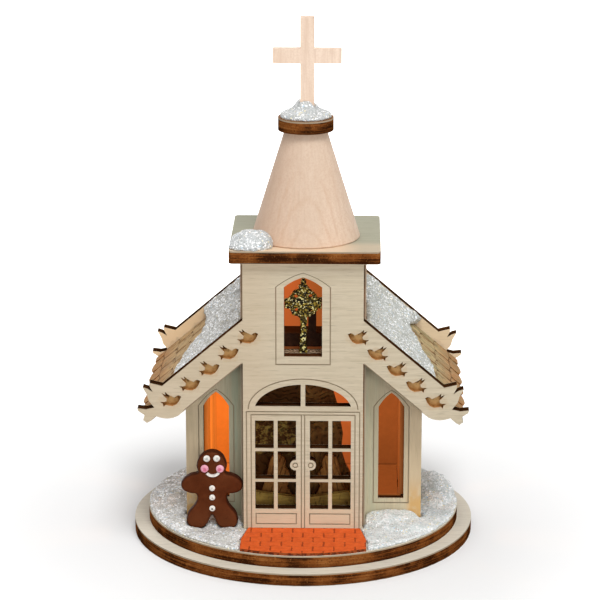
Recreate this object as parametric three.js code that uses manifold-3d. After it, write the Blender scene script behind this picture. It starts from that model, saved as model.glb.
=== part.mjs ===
// Nativity chapel ornament: a chapel of laser-cut birch plywood on two round discs, with a turned steeple,
// glitter snow, a clay gingerbread figure, and a nativity scene in amber light behind the glazing bars.
// Millimetres, +Z up, doors towards -Y. The origin is the centre of the underside of the lower disc.
import * as THREE from "three";
import * as BufferGeometryUtils from "three/addons/utils/BufferGeometryUtils.js";
import Module from "manifold-3d";

const wasm = await Module();
wasm.setup();

// Sheet and fits
const PLY = 3.2; // thickness of the main sheet
const THIN_PLY = 1.6; // thickness of the scene's layers
const CARD = 0.4; // thickness of the amber card
const CARD_GAP = 0.1; // between the card and the wall it is glued to
const GAP = 0.3; // between faces that are cut or turned to meet
const SLOT_CLEARANCE = 0.2; // round each tab in its slot

// Base
const LOWER_DISC_R = 43.5;
const UPPER_DISC_R = 39.8;
const DISC_SEGMENTS = 90;
const LIGHT_HOLE_R = 6.3;
const LIGHT_HOLE_SEGMENTS = 32;
const LIGHT_Y = 6; // the lamp's place behind the scene
const FLOOR = 2 * PLY; // top of the upper disc
const BUILDING_X = 0.4; // the chapel is glued a little right of the discs' centre

// Tower
const TOWER_HALF = 14.87; // half the front panel's width
const TOWER_SIDE_PROUD = 0.65; // how far each tower side stands out past the front panel
const TOWER_TOP = 76.0;
const TOWER_BACK_Y = 8.7; // outer face of the tower's back
const FRONT_Y = -22.2; // front face of the front panel
const BELFRY_SILL = 52.0; // of the belfry window, level with the tower's floor

// Nave
const NAVE_HALF = 29.7; // half the width across the nave's front walls
const NAVE_FRONT_Y = -13.1; // front face of the nave's front walls
const SIDE_WALL_OUT = 27.6; // outer faces of the side walls
const SIDE_TO_RIM = 0.885; // from the side walls' back corners to the upper disc's rim, along Y
const REAR_TO_RIM = 0.15; // from the rear panel's back corners to the upper disc's rim, along X

// Roof
const ROOF_ANGLE = THREE.MathUtils.degToRad(40.4);
const BARGE_TOP = 61.2; // the wings' top edge where it leaves the tower
const ROOF_DROP = 2.5; // the roof lies this far below the wings' top edge, square to it
const EAVE_S = 52.6; // ends of the eave tongues, down the slope from the ridge
const EAVE_BULGE = 1.4;
const NOTCH_S = 48.9; // apex of each eave notch
const NOTCH_PITCH = 8.8;
const NOTCH_WIDTH = 1.8;
const FIRST_NOTCH = 4.3; // from the roof's back end

// Openings of the tower's front, widths as halves
const BELFRY_HALF = 4.69;
const BELFRY_TALL = 17.75; // from the sill to the shoulder
const BELFRY_RISE = 2.5; // from the shoulder to the apex
const BELFRY_FRAME = 2.0;
const FAN_HALF = 11.9;
const FAN_SPRING = 39.14;
const FAN_TOP = 44.82;
const FAN_SINK = 1.2; // from the fanlight's foot down to the centre of its arch
const FAN_MULLION_HALF = 0.56;
const FAN_FRAME = 1.7;
const DOOR_HALF = 12.9;
const DOOR_TOP = 36.94;
const JAMB = 1.15; // between the door leaf and the outer frame line
const PANE_COLUMNS = [[1.72, 6.31], [7.25, 11.91]];
const PANE_ROWS = [[12.14, 19.35], [20.04, 27.4], [28.15, 35.43]];
const KICK_PANEL_X = [1.67, 11.75];
const KICK_PANEL_Z = [8.22, 10.92];
const MEETING_HALF = 0.4;
const KNOB_X = 1.92;
const KNOB_Z = 23.74;
const KNOB_R = 1.31;
const KNOB_RING_R = 0.6;

// Lancet windows of the nave
const LANCET_X = 22.05;
const LANCET_HALF = 3.23;
const LANCET_SILL = 11.96;
const LANCET_TALL = 24.3;
const LANCET_RISE = 3.7;
const LANCET_FRAME = 1.2;
const SIDE_LANCET_INSET = 8.3; // from each end of a side wall to its window's centre
const SIDE_LANCET_HEAD = 3.2; // of wall left over each side window
const REAR_LANCET_SILL = 20.0;
const REAR_LANCET_TALL = 16.0;
const REAR_LANCET_RISE = 4.5;

// Engraving
const LINE_WIDTH = 0.28;
const LINE_DEPTH = 0.3;

// Doves in the wings
const DOVE_COUNT = 5;
const DOVE_LENGTH = 5.35;
const DOVE_FIRST_X = 13.65; // centre of the dove beside the tower
const DOVE_DROP = 5.3; // of each dove's centre below the wings' top edge
const DOVE_PITCH = 6.29; // down the slope
const DOVE_DEPTH = 1.2; // each is a pocket in the sheet
const WING_CORNER_X = 34.9; // where the top edge ends and the tail feathers begin
const WING_END = 6.4; // length of the feathered end
const WING_DEPTH = 10.9; // from the top edge straight down to the lower edge
const WING_STRAIGHT_X = 28.8; // where the lower edge begins to curve

// Steeple
const CAP_SIZE = 37.1;
const CAP_CORNER_R = 1.2;
const CAP_X = 0.4; // the cap and the steeple are glued a little to the right
const CAP_Y = -5.3;
const STEEPLE_Y = -8.2;
const CONE_BASE_R = 13.5;
const CONE_TOP_R = 5.2;
const CONE_HEIGHT = 27.0;
const CONE_SEGMENTS = 48;
const DOWEL_R = 3.0;
const DOWEL_CLEARANCE = 0.15;
const DOWEL_IN_CONE = 7.5;
const TOP_DISC_R = 6.85;
const CROSS_X = 0.35; // the cross stands a little right of the cone's axis
const CROSS_THICK = 2.4;
const CROSS_STEM = 3.4;
const CROSS_SPAN = 16.8;
const CROSS_HEIGHT = 24.8; // above the top disc
const CROSS_ARM_Z = [13.4, 17.0]; // of the arms, above the top disc

// Path
const PATH_THICK = 0.8;
const PATH_X = 0.3; // the path lies a little right of the doors
const PATH_HALF_NEAR = 14.0;
const PATH_HALF_FAR = 15.5;
const PATH_FLARE_Y = -30.4;
const PATH_RIM_INSET = 0.1;

// Snow
const SNOW_SLAB = 0.7; // thickness of the glitter layer on the disc
const SNOW_RIM_INSET = 0.15;
const SNOW_ON_ROOF = 0.7;
const MOUNDS_LEFT = [[-20, -17.5, 7, 5, 1.7], [-30, -19, 6, 7, 1.5], [-18, -27, 5, 6, 1.4], [-33, 2, 5, 10, 1.6]];
const MOUNDS_RIGHT = [[22.2, -15, 7.4, 6.4, 2.9], [26, -20, 8, 5, 1.8], [33.5, 7, 5.4, 14, 3.0], [18.5, -27, 4, 6, 1.3]];
const MOUNDS_REAR = [[-9, 33.5, 11, 5, 1.8], [11, 34, 8, 4.5, 1.6]]; // each is x, y, its half sizes and its height
const SNOW_DRIFT = [[0, 2.3], [1.4, 2.0], [4.0, 1.2], [7.5, 0.7]]; // depth at each distance from the rear panel

// Gingerbread figure
const COOKIE_TO_TOWER = 0.18; // from the figure's arm to the front panel
const COOKIE_FRONT_Y = -22.3;
const COOKIE_THICK = 3.2;
const COOKIE_HEIGHT = 20.6;
const COOKIE_EDGE = 0.7;
const COOKIE_FOOT_Z = 6.6;
const ICING = 0.5;
const EYE_R = 0.85;
const CHEEK_R = 1.0;
const BUTTON_R = 0.75;

// Values that follow from the ones above
const SLOPE = Math.tan(ROOF_ANGLE);
const COS = Math.cos(ROOF_ANGLE);
const SIN = Math.sin(ROOF_ANGLE);
const PANEL_BACK = FRONT_Y + PLY;
const reachOnDisc = (across) => Math.sqrt(UPPER_DISC_R ** 2 - across ** 2);
const REAR_Y = reachOnDisc(SIDE_WALL_OUT + BUILDING_X) - SIDE_TO_RIM; // front face of the rear panel
const REAR_BACK = REAR_Y + PLY;
const REAR_BODY_HALF = reachOnDisc(REAR_BACK) - BUILDING_X - REAR_TO_RIM;
const NAVE_BACK = NAVE_FRONT_Y + PLY;
const TOWER_OUT = TOWER_HALF + TOWER_SIDE_PROUD;
const TOWER_IN = TOWER_OUT - PLY;
const SIDE_WALL_IN = SIDE_WALL_OUT - PLY;
const RIDGE_Z = BARGE_TOP + TOWER_HALF * SLOPE; // where the two wings' top edges would meet
const ROOF_TOP_Z = RIDGE_Z - ROOF_DROP / COS; // the roof's upper faces at the ridge
const CAP_TOP = TOWER_TOP + PLY;
const CONE_TOP = CAP_TOP + CONE_HEIGHT;
const TOP_DISC_TOP = CONE_TOP + PLY;

const chapel = new THREE.Group();
chapel.position.set(BUILDING_X, 0, 0);
const ornament = new THREE.Group();
ornament.add(chapel);

const finish = (color, roughness, metalness = 0) => ({ color, roughness, metalness });
const BIRCH = finish(0xdccbab, 0.6);
const ROOF_WOOD = finish(0xb08a5c, 0.7);
const MAPLE = finish(0xe3c3a4, 0.5);
const SNOW = finish(0xe6e9ec, 0.5);
const BRICK = finish(0xdd5f2c, 0.7);
const COOKIE = finish(0x4a1f12, 0.6);
const WHITE_ICING = finish(0xf2efe4, 0.4);
const PINK_ICING = finish(0xdc7f9c, 0.5);
const GOLD = finish(0x9a8430, 0.35, 0.6);
const AMBER = finish(0xdc6a1e, 0.8);
const DARK_STAIN = finish(0x2c1a10, 0.7);
const FIGURE_STAIN = finish(0x5a3a22, 0.7);
const OLIVE_STAIN = finish(0x7d7b3a, 0.7);
const HOLDER_PLASTIC = finish(0x1f4a2c, 0.4);
const LAMP_GLASS = finish(0xf2a03c, 0.2);

function add(name, geometry, look, parent = chapel) {
  const mesh = new THREE.Mesh(geometry, new THREE.MeshStandardMaterial(look));
  mesh.name = name;
  parent.add(mesh);
  return mesh;
}

// Solids and geometries
function solid(geometry) {
  const bare = geometry.clone();
  bare.deleteAttribute("normal");
  bare.deleteAttribute("uv");
  const merged = BufferGeometryUtils.mergeVertices(bare, 1e-4);
  const vertProperties = new Float32Array(merged.attributes.position.array);
  const triVerts = new Uint32Array(merged.index.array);
  return new wasm.Manifold(new wasm.Mesh({ numProp: 3, vertProperties, triVerts }));
}

function geometryOf(manifold) {
  const mesh = manifold.simplify(0.002).getMesh();
  const geometry = new THREE.BufferGeometry();
  geometry.setAttribute("position", new THREE.BufferAttribute(new Float32Array(mesh.vertProperties), 3));
  geometry.setIndex(new THREE.BufferAttribute(new Uint32Array(mesh.triVerts), 1));
  geometry.computeVertexNormals();
  return geometry;
}

// A sheet drawn in X and Z, standing upright with its front face at y
function upright(shape, thickness, y, curveSegments = 6) {
  const sheet = new THREE.ExtrudeGeometry(shape, { depth: thickness, bevelEnabled: false, curveSegments });
  sheet.rotateX(Math.PI / 2);
  sheet.translate(0, y + thickness, 0);
  return sheet;
}

// A sheet drawn in Y and Z, standing across the building with its lower face at x
function crosswise(shape, thickness, x, curveSegments = 6) {
  const sheet = new THREE.ExtrudeGeometry(shape, { depth: thickness, bevelEnabled: false, curveSegments });
  sheet.rotateY(Math.PI / 2);
  sheet.rotateX(Math.PI / 2);
  sheet.translate(x, 0, 0);
  return sheet;
}

// A sheet drawn in X and Y, lying flat with its underside at z
function flat(shape, thickness, z, curveSegments = 6) {
  const sheet = new THREE.ExtrudeGeometry(shape, { depth: thickness, bevelEnabled: false, curveSegments });
  sheet.translate(0, 0, z);
  return sheet;
}

// A sheet with holes right through it, where stand is one of the three functions above
function pierced(stand, outline, holes, thickness, at) {
  let sheet = solid(stand(outline, thickness, at));
  for (const hole of holes) sheet = sheet.subtract(solid(stand(hole, thickness + 2, at - 1)));
  return sheet;
}

function polygon(points) {
  return new THREE.Shape(points.map(([x, y]) => new THREE.Vector2(x, y)));
}

function rectangle(x0, y0, x1, y1) {
  return polygon([[x0, y0], [x1, y0], [x1, y1], [x0, y1]]);
}

function box(x0, y0, z0, x1, y1, z1) {
  const geometry = new THREE.BoxGeometry(x1 - x0, y1 - y0, z1 - z0);
  return geometry.translate((x0 + x1) / 2, (y0 + y1) / 2, (z0 + z1) / 2);
}

function disc(radius, x, z, segments = 32) {
  const points = [];
  for (let i = 0; i < segments; i++) {
    const a = (2 * Math.PI * i) / segments;
    points.push([x + radius * Math.cos(a), z + radius * Math.sin(a)]);
  }
  return polygon(points);
}

const mirrored = (points, side) => points.map(([x, z]) => [side * x, z]);

// A pointed window: straight jambs, then two shallow curves that meet at the apex
function lancet(x, half, sill, tall, rise) {
  const shape = new THREE.Shape();
  const shoulder = sill + tall;
  const apex = shoulder + rise;
  shape.moveTo(x - half, sill);
  shape.lineTo(x + half, sill);
  shape.lineTo(x + half, shoulder);
  shape.quadraticCurveTo(x + 0.55 * half, shoulder + 0.7 * rise, x, apex);
  shape.quadraticCurveTo(x - 0.55 * half, shoulder + 0.7 * rise, x - half, shoulder);
  shape.closePath();
  return shape;
}

// The engraved line round a window, as a shape with the inner outline as its hole
function lancetLine(x, half, sill, tall, rise, frame) {
  const grown = (by) => lancet(x, half + by, sill - by, tall + by, rise + 0.55 * by);
  const line = grown(frame + LINE_WIDTH / 2);
  line.holes.push(grown(frame - LINE_WIDTH / 2));
  return line;
}

// The top of an ellipse whose centre lies the given sink below the arch's foot
function archPoints(half, foot, top, x0, x1, sink = 0, steps = 16) {
  const rise = top - foot + sink;
  const reach = half / Math.sqrt(1 - (sink / rise) ** 2);
  const from = Math.asin(x0 / reach);
  const to = Math.asin(x1 / reach);
  const points = [];
  for (let i = 0; i <= steps; i++) {
    const a = from + ((to - from) * i) / steps;
    points.push([reach * Math.sin(a), foot - sink + rise * Math.cos(a)]);
  }
  return points;
}

// A dove in flight with its beak towards the tower, drawn 5.35 units long for the right wing
const DOVE = [
  [-2.65, 0.9], [-1.95, 1.2], [-1.45, 1.05], [-0.95, 0.6], [-0.3, 0.95], [0.55, 1.35], [1.4, 2.1],
  [1.25, 1.3], [2.25, 1.78], [1.6, 0.9], [0.95, 0.3], [1.05, -0.35], [1.6, -0.55], [2.7, -0.55],
  [1.95, -1.0], [1.75, -1.85], [1.3, -1.35], [0.5, -1.5], [-0.5, -1.6], [-1.5, -1.1], [-2.1, -0.3],
];

const wingTop = (x) => RIDGE_Z - Math.abs(x) * SLOPE;
const wingUnder = (x) => wingTop(x) - WING_DEPTH;

function doveShapes(side) {
  const unit = DOVE_LENGTH / 5.35;
  const shapes = [];
  for (let i = 0; i < DOVE_COUNT; i++) {
    const x = DOVE_FIRST_X + i * DOVE_PITCH * COS;
    const z = wingTop(x) - DOVE_DROP;
    shapes.push(polygon(mirrored(DOVE.map(([a, b]) => [x + a * unit, z + b * unit]), side)));
  }
  return shapes;
}

// The wing's free end is the rear half of a larger dove: two feathers above, a forked tail below.
// It is drawn from the top edge's corner, 6.3 units long.
const FEATHERS = [
  [0, 0], [3.05, 0.75], [3.0, -0.1], [2.2, -1.6], [3.5, -0.75], [4.7, -0.35], [3.7, -2.2], [3.3, -3.7],
  [1.9, -5.5], [4.0, -6.0], [6.1, -5.75], [5.9, -6.35], [4.35, -7.4], [4.7, -8.7], [3.8, -9.4], [2.9, -8.9],
];
const BELLY = [[1.6, -7.7], [0, -8.15], [-1.8, -8.2], [-3.8, -7.55]];

function wingOutline() {
  const unit = WING_END / 6.3;
  const place = ([x, z]) => [WING_CORNER_X + x * unit, wingTop(WING_CORNER_X) + z * unit];
  const belly = new THREE.SplineCurve([
    ...BELLY.map((p) => new THREE.Vector2(...place(p))),
    new THREE.Vector2(WING_STRAIGHT_X, wingUnder(WING_STRAIGHT_X)),
  ]);
  return [
    [TOWER_HALF, wingTop(TOWER_HALF)], ...FEATHERS.map(place),
    ...belly.getPoints(8).map((p) => [p.x, p.y]),
    [TOWER_HALF, wingUnder(TOWER_HALF)],
  ];
}

// Tabs under the walls, each with its slot in the upper disc
const TAB_WIDTH = 6.0;
const TAB_DEPTH = PLY - GAP;
const FRONT_TABS = [-8, 8];
const REAR_TABS = [-18, 18];
const SIDE_TABS = [0, 14];
const slots = [];

function slotFor(x0, y0, x1, y1) {
  const c = SLOT_CLEARANCE;
  slots.push(rectangle(x0 - c, y0 - c, x1 + c, y1 + c));
}

// The foot of a wall from one end to the other, with a tab at each centre
function footWithTabs(from, to, centres) {
  const points = [[from, FLOOR]];
  for (const c of centres) {
    points.push([c - TAB_WIDTH / 2, FLOOR], [c - TAB_WIDTH / 2, FLOOR - TAB_DEPTH]);
    points.push([c + TAB_WIDTH / 2, FLOOR - TAB_DEPTH], [c + TAB_WIDTH / 2, FLOOR]);
  }
  points.push([to, FLOOR]);
  return points;
}

function slotsAlongX(centres, y) {
  for (const c of centres) slotFor(c - TAB_WIDTH / 2, y, c + TAB_WIDTH / 2, y + PLY);
}

function slotsAlongY(centres, x) {
  for (const c of centres) slotFor(x, c - TAB_WIDTH / 2, x + PLY, c + TAB_WIDTH / 2);
}

// Front panel: the tower's front, its doors and windows, and both wings in one sheet
function engravedOnFront() {
  const lines = [];
  const y0 = FRONT_Y - 1;
  const bar = (x0, z0, x1, z1) => lines.push(solid(box(x0, y0, z0, x1, FRONT_Y + LINE_DEPTH, z1)));
  const ring = (shape) => lines.push(solid(upright(shape, 1 + LINE_DEPTH, y0)));
  const h = LINE_WIDTH / 2;
  ring(lancetLine(0, BELFRY_HALF, BELFRY_SILL, BELFRY_TALL, BELFRY_RISE, BELFRY_FRAME));
  const frameFoot = FAN_SPRING - 0.75;
  const outerArch = archPoints(FAN_HALF + FAN_FRAME + h, frameFoot, FAN_TOP + FAN_FRAME * 0.85 + h,
    -(FAN_HALF + FAN_FRAME + h), FAN_HALF + FAN_FRAME + h, 0, 24);
  const innerArch = archPoints(FAN_HALF + FAN_FRAME - h, frameFoot, FAN_TOP + FAN_FRAME * 0.85 - h,
    FAN_HALF + FAN_FRAME - h, -(FAN_HALF + FAN_FRAME - h), 0, 24);
  ring(polygon([...outerArch, ...innerArch].reverse()));
  const frameHalf = DOOR_HALF + JAMB;
  const headerZ = DOOR_TOP + 0.8;
  bar(-frameHalf, headerZ - h, frameHalf, headerZ + h);
  bar(-DOOR_HALF, DOOR_TOP - h, DOOR_HALF, DOOR_TOP + h);
  for (const x of [-frameHalf, frameHalf]) bar(x - h, FLOOR - 1, x + h, headerZ);
  for (const x of [-DOOR_HALF, -MEETING_HALF, MEETING_HALF, DOOR_HALF]) bar(x - h, FLOOR - 1, x + h, DOOR_TOP);
  for (const side of [-1, 1]) {
    const [low, high] = side > 0 ? KICK_PANEL_X : KICK_PANEL_X.map((x) => -x).reverse();
    const [foot, head] = KICK_PANEL_Z;
    const outer = rectangle(low - h, foot - h, high + h, head + h);
    outer.holes.push(rectangle(low + h, foot + h, high - h, head - h));
    ring(outer);
    const knobRing = disc(KNOB_RING_R + h, side * KNOB_X, KNOB_Z, 12);
    knobRing.holes.push(disc(KNOB_RING_R - h, side * KNOB_X, KNOB_Z, 12));
    ring(knobRing);
  }
  return lines;
}

function frontPanel() {
  const wing = wingOutline();
  const outline = polygon([
    ...footWithTabs(-TOWER_HALF, TOWER_HALF, FRONT_TABS),
    ...wing.slice().reverse(),
    [TOWER_HALF, TOWER_TOP], [-TOWER_HALF, TOWER_TOP],
    ...mirrored(wing, -1),
  ]);
  const holes = [lancet(0, BELFRY_HALF, BELFRY_SILL, BELFRY_TALL, BELFRY_RISE)];
  for (const side of [-1, 1]) {
    const arch = archPoints(FAN_HALF, FAN_SPRING, FAN_TOP, FAN_MULLION_HALF, FAN_HALF, FAN_SINK);
    holes.push(polygon(mirrored([[FAN_MULLION_HALF, FAN_SPRING], ...arch], side)));
    for (const [x0, x1] of PANE_COLUMNS) {
      for (const [z0, z1] of PANE_ROWS) holes.push(rectangle(side * x0, z0, side * x1, z1));
    }
  }
  let panel = pierced(upright, outline, holes, PLY, FRONT_Y);
  for (const side of [-1, 1]) {
    const knob = solid(upright(disc(KNOB_R, side * KNOB_X, KNOB_Z), PLY, FRONT_Y));
    panel = panel.add(knob);
  }
  for (const line of engravedOnFront()) panel = panel.subtract(line);
  for (const dove of [...doveShapes(-1), ...doveShapes(1)]) {
    panel = panel.subtract(solid(upright(dove, 1 + DOVE_DEPTH, FRONT_Y - 1)));
  }
  slotsAlongX(FRONT_TABS, FRONT_Y);
  return geometryOf(panel);
}

// The roof's underside, from which every wall under it takes its height
const roofUnder = (x) => ROOF_TOP_Z - PLY / COS - Math.abs(x) * SLOPE;
const wallTop = (x) => roofUnder(x) - GAP / COS;

function naveFront(side) {
  const centre = LANCET_X * side;
  const foot = footWithTabs(TOWER_OUT, NAVE_HALF, [LANCET_X]);
  const outline = polygon(mirrored([...foot, [NAVE_HALF, wallTop(NAVE_HALF)], [TOWER_OUT, wallTop(TOWER_OUT)]], side));
  const hole = lancet(centre, LANCET_HALF, LANCET_SILL, LANCET_TALL, LANCET_RISE);
  const line = lancetLine(centre, LANCET_HALF, LANCET_SILL, LANCET_TALL, LANCET_RISE, LANCET_FRAME);
  const wall = pierced(upright, outline, [hole], PLY, NAVE_FRONT_Y);
  slotsAlongX([centre], NAVE_FRONT_Y);
  return geometryOf(wall.subtract(solid(upright(line, 1 + LINE_DEPTH, NAVE_FRONT_Y - 1))));
}

function naveSide(side) {
  const top = wallTop(SIDE_WALL_OUT);
  const outline = polygon([
    ...footWithTabs(NAVE_BACK, REAR_Y, SIDE_TABS),
    [REAR_Y, top], [NAVE_BACK, top],
  ]);
  const tall = top - SIDE_LANCET_HEAD - LANCET_RISE - LANCET_SILL;
  const centres = [NAVE_BACK + SIDE_LANCET_INSET, REAR_Y - SIDE_LANCET_INSET];
  const holes = centres.map((y) => lancet(y, LANCET_HALF, LANCET_SILL, tall, LANCET_RISE));
  const x = side < 0 ? -SIDE_WALL_OUT : SIDE_WALL_IN;
  let wall = pierced(crosswise, outline, holes, PLY, x);
  const outside = side < 0 ? -SIDE_WALL_OUT - 1 : SIDE_WALL_OUT - LINE_DEPTH;
  for (const y of centres) {
    const line = lancetLine(y, LANCET_HALF, LANCET_SILL, tall, LANCET_RISE, LANCET_FRAME);
    wall = wall.subtract(solid(crosswise(line, 1 + LINE_DEPTH, outside)));
  }
  slotsAlongY(SIDE_TABS, x);
  return geometryOf(wall);
}

// Rear panel: the gable behind, with the same wings and one lancet
function rearPanel() {
  const wing = wingOutline().slice(1, -1);
  const underWing = [REAR_BODY_HALF, wingUnder(REAR_BODY_HALF)];
  const outline = polygon([
    ...footWithTabs(-REAR_BODY_HALF, REAR_BODY_HALF, REAR_TABS),
    underWing,
    ...wing.slice(0, -1).reverse(),
    [0, RIDGE_Z],
    ...mirrored(wing.slice(0, -1), -1),
    [-underWing[0], underWing[1]],
  ]);
  const lancetSizes = [0, BELFRY_HALF, REAR_LANCET_SILL, REAR_LANCET_TALL, REAR_LANCET_RISE];
  const line = lancetLine(...lancetSizes, BELFRY_FRAME);
  slotsAlongX(REAR_TABS, REAR_Y);
  let panel = pierced(upright, outline, [lancet(...lancetSizes)], PLY, REAR_Y);
  panel = panel.subtract(solid(upright(line, 1 + LINE_DEPTH, REAR_BACK - LINE_DEPTH)));
  for (const dove of [...doveShapes(-1), ...doveShapes(1)]) {
    panel = panel.subtract(solid(upright(dove, 1 + DOVE_DEPTH, REAR_BACK - DOVE_DEPTH)));
  }
  return geometryOf(panel);
}

// Tower side: a narrow return beside the doors that widens above the nave into the belfry's side
const BELFRY_FOOT = BELFRY_SILL - 2 * PLY;
function towerSide(side) {
  const outline = polygon([
    [PANEL_BACK, FLOOR], [NAVE_BACK, FLOOR], [NAVE_BACK, BELFRY_FOOT],
    [TOWER_BACK_Y, BELFRY_FOOT], [TOWER_BACK_Y, TOWER_TOP], [PANEL_BACK, TOWER_TOP],
  ]);
  return crosswise(outline, PLY, side < 0 ? -TOWER_OUT : TOWER_IN);
}

// One roof panel, drawn down the slope (s) and along the building (y), then tilted
const ROOF_FRONT = PANEL_BACK + GAP;
const ROOF_BACK = REAR_Y - GAP;
const RIDGE_S = (GAP / 2 + PLY * SIN) / COS;
const TOWER_S = (TOWER_OUT + GAP + PLY * SIN) / COS;
const TOWER_NOTCH_Y = TOWER_BACK_Y + GAP;

function tilt(geometry, side) {
  geometry.rotateY(ROOF_ANGLE);
  geometry.translate(0, 0, ROOF_TOP_Z);
  if (side > 0) return geometry;
  return geometry.rotateZ(Math.PI).scale(1, -1, 1);
}

// A flip reverses the faces, so a mirrored geometry gets its triangles turned back
function turnedFaces(geometry) {
  const plain = geometry.index ? geometry.toNonIndexed() : geometry;
  const p = plain.attributes.position.array;
  for (let i = 0; i < p.length; i += 9) {
    for (let k = 0; k < 3; k++) {
      const keep = p[i + 3 + k];
      p[i + 3 + k] = p[i + 6 + k];
      p[i + 6 + k] = keep;
    }
  }
  plain.computeVertexNormals();
  return plain;
}

const onRoof = (geometry, side) => (side > 0 ? tilt(geometry, side) : turnedFaces(tilt(geometry, side)));

function roofPanel(side) {
  const shape = new THREE.Shape();
  shape.moveTo(TOWER_S, ROOF_FRONT);
  shape.lineTo(TOWER_S, TOWER_NOTCH_Y);
  shape.lineTo(RIDGE_S, TOWER_NOTCH_Y);
  shape.lineTo(RIDGE_S, ROOF_BACK);
  shape.lineTo(EAVE_S, ROOF_BACK);
  const notches = Math.ceil((ROOF_BACK - FIRST_NOTCH - ROOF_FRONT - NOTCH_WIDTH) / NOTCH_PITCH);
  for (let k = 0; k < notches; k++) {
    const y = ROOF_BACK - FIRST_NOTCH - k * NOTCH_PITCH;
    shape.lineTo(EAVE_S, y + 0.4);
    shape.lineTo(NOTCH_S, y);
    shape.lineTo(EAVE_S, y + 0.4 - NOTCH_WIDTH);
    const next = Math.max(y - NOTCH_PITCH + 0.4, ROOF_FRONT);
    shape.quadraticCurveTo(EAVE_S + EAVE_BULGE, (y + next - NOTCH_WIDTH) / 2, EAVE_S, next);
  }
  shape.closePath();
  return onRoof(flat(shape, PLY, -PLY, 6), side);
}

// Where the snow ends, as shares of the way down the slope and of the way from back to front
const SNOW_LINE_RIGHT = [
  [0.72, 0], [0.672, 0.12], [0.662, 0.2], [0.683, 0.28], [0.713, 0.38], [0.741, 0.5], [0.78, 0.59], [0.798, 0.68],
  [0.818, 1],
];
const SNOW_LINE_LEFT = [
  [0.645, 0], [0.641, 0.2], [0.655, 0.36], [0.69, 0.43], [0.722, 0.49], [0.76, 0.59], [0.782, 0.67], [0.8, 0.76],
  [0.814, 1],
];

// The bank of snow against the rear panel, standing over the roof's upper face
function snowBank() {
  const bank = [...SNOW_DRIFT.map(([off, up]) => [ROOF_BACK - off, up]), [ROOF_FRONT, SNOW_ON_ROOF]];
  const profile = polygon([[ROOF_BACK, GAP], ...bank.map(([y, up]) => [y, up + GAP]), [ROOF_FRONT, GAP]].reverse());
  return solid(crosswise(profile, EAVE_S, 0));
}

function roofSnow(side) {
  const inner = (TOWER_OUT + GAP) / COS;
  const line = side > 0 ? SNOW_LINE_RIGHT : SNOW_LINE_LEFT;
  const edge = new THREE.SplineCurve(line.map(([down, along]) =>
    new THREE.Vector2(down * EAVE_S, THREE.MathUtils.lerp(ROOF_BACK, ROOF_FRONT, along))));
  const shape = polygon([
    [inner, ROOF_FRONT], ...edge.getPoints(14).reverse().map((p) => [p.x, p.y]),
    [RIDGE_S + 2.5, ROOF_BACK], [RIDGE_S + 2.5, TOWER_NOTCH_Y + GAP], [inner, TOWER_NOTCH_Y + GAP],
  ]);
  const banked = solid(flat(shape, 4, 0, 6)).intersect(snowBank());
  return onRoof(geometryOf(banked), side);
}

// Snow along the ridge, filling the groove between the two square-cut roof panels
function ridgeSnow() {
  const over = (x, up) => ROOF_TOP_Z - Math.abs(x) * SLOPE + up / COS;
  const end = (RIDGE_S + 2.5) * COS - GAP;
  const lip = RIDGE_S * COS - GAP;
  const top = SNOW_ON_ROOF + GAP;
  const half = [[0.8, over(0.8, top)], [end, over(end, top)], [end, over(end, GAP)], [lip, over(lip, GAP)]];
  const profile = polygon([
    ...half, [0, over(lip, GAP) - 1.4],
    ...mirrored(half, -1).reverse(),
  ]);
  return upright(profile, ROOF_BACK - TOWER_NOTCH_Y - 2 * GAP, TOWER_NOTCH_Y + GAP);
}

// Steeple
function roundedSquare(size, radius) {
  const h = size / 2;
  const shape = new THREE.Shape();
  shape.moveTo(-h + radius, -h);
  shape.lineTo(h - radius, -h);
  shape.absarc(h - radius, -h + radius, radius, -Math.PI / 2, 0, false);
  shape.lineTo(h, h - radius);
  shape.absarc(h - radius, h - radius, radius, 0, Math.PI / 2, false);
  shape.lineTo(-h + radius, h);
  shape.absarc(-h + radius, h - radius, radius, Math.PI / 2, Math.PI, false);
  shape.lineTo(-h, -h + radius);
  shape.absarc(-h + radius, -h + radius, radius, Math.PI, 1.5 * Math.PI, false);
  return shape;
}

function lathed(profile, segments = 32) {
  const geometry = new THREE.LatheGeometry(profile.map(([r, z]) => new THREE.Vector2(r, z)), segments);
  return geometry.rotateX(Math.PI / 2);
}

function towerCap() {
  const shape = roundedSquare(CAP_SIZE, CAP_CORNER_R);
  const hole = new THREE.Path();
  hole.absarc(0, STEEPLE_Y - CAP_Y, DOWEL_R + DOWEL_CLEARANCE, 0, 2 * Math.PI, true);
  shape.holes.push(hole);
  return flat(shape, PLY, TOWER_TOP, 5).translate(0, CAP_Y, 0);
}

function steepleCone() {
  const bore = DOWEL_R + DOWEL_CLEARANCE;
  const profile = [
    [0, CAP_TOP + DOWEL_IN_CONE + GAP], [bore, CAP_TOP + DOWEL_IN_CONE + GAP], [bore, CAP_TOP],
    [CONE_BASE_R - 0.3, CAP_TOP], [CONE_BASE_R, CAP_TOP + 0.3], [CONE_TOP_R, CONE_TOP], [0, CONE_TOP],
  ];
  return lathed(profile, CONE_SEGMENTS);
}

function crossShape(clear = 0) {
  const s = CROSS_STEM / 2 + clear;
  const a = CROSS_SPAN / 2;
  const [a0, a1] = CROSS_ARM_Z.map((z) => TOP_DISC_TOP + z);
  const foot = TOP_DISC_TOP - PLY + GAP;
  const top = TOP_DISC_TOP + CROSS_HEIGHT;
  return polygon([
    [-s, foot], [s, foot], [s, a0], [a, a0], [a, a1], [s, a1],
    [s, top], [-s, top], [-s, a1], [-a, a1], [-a, a0], [-s, a0],
  ].map(([x, z]) => [x + CROSS_X, z]));
}

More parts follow.
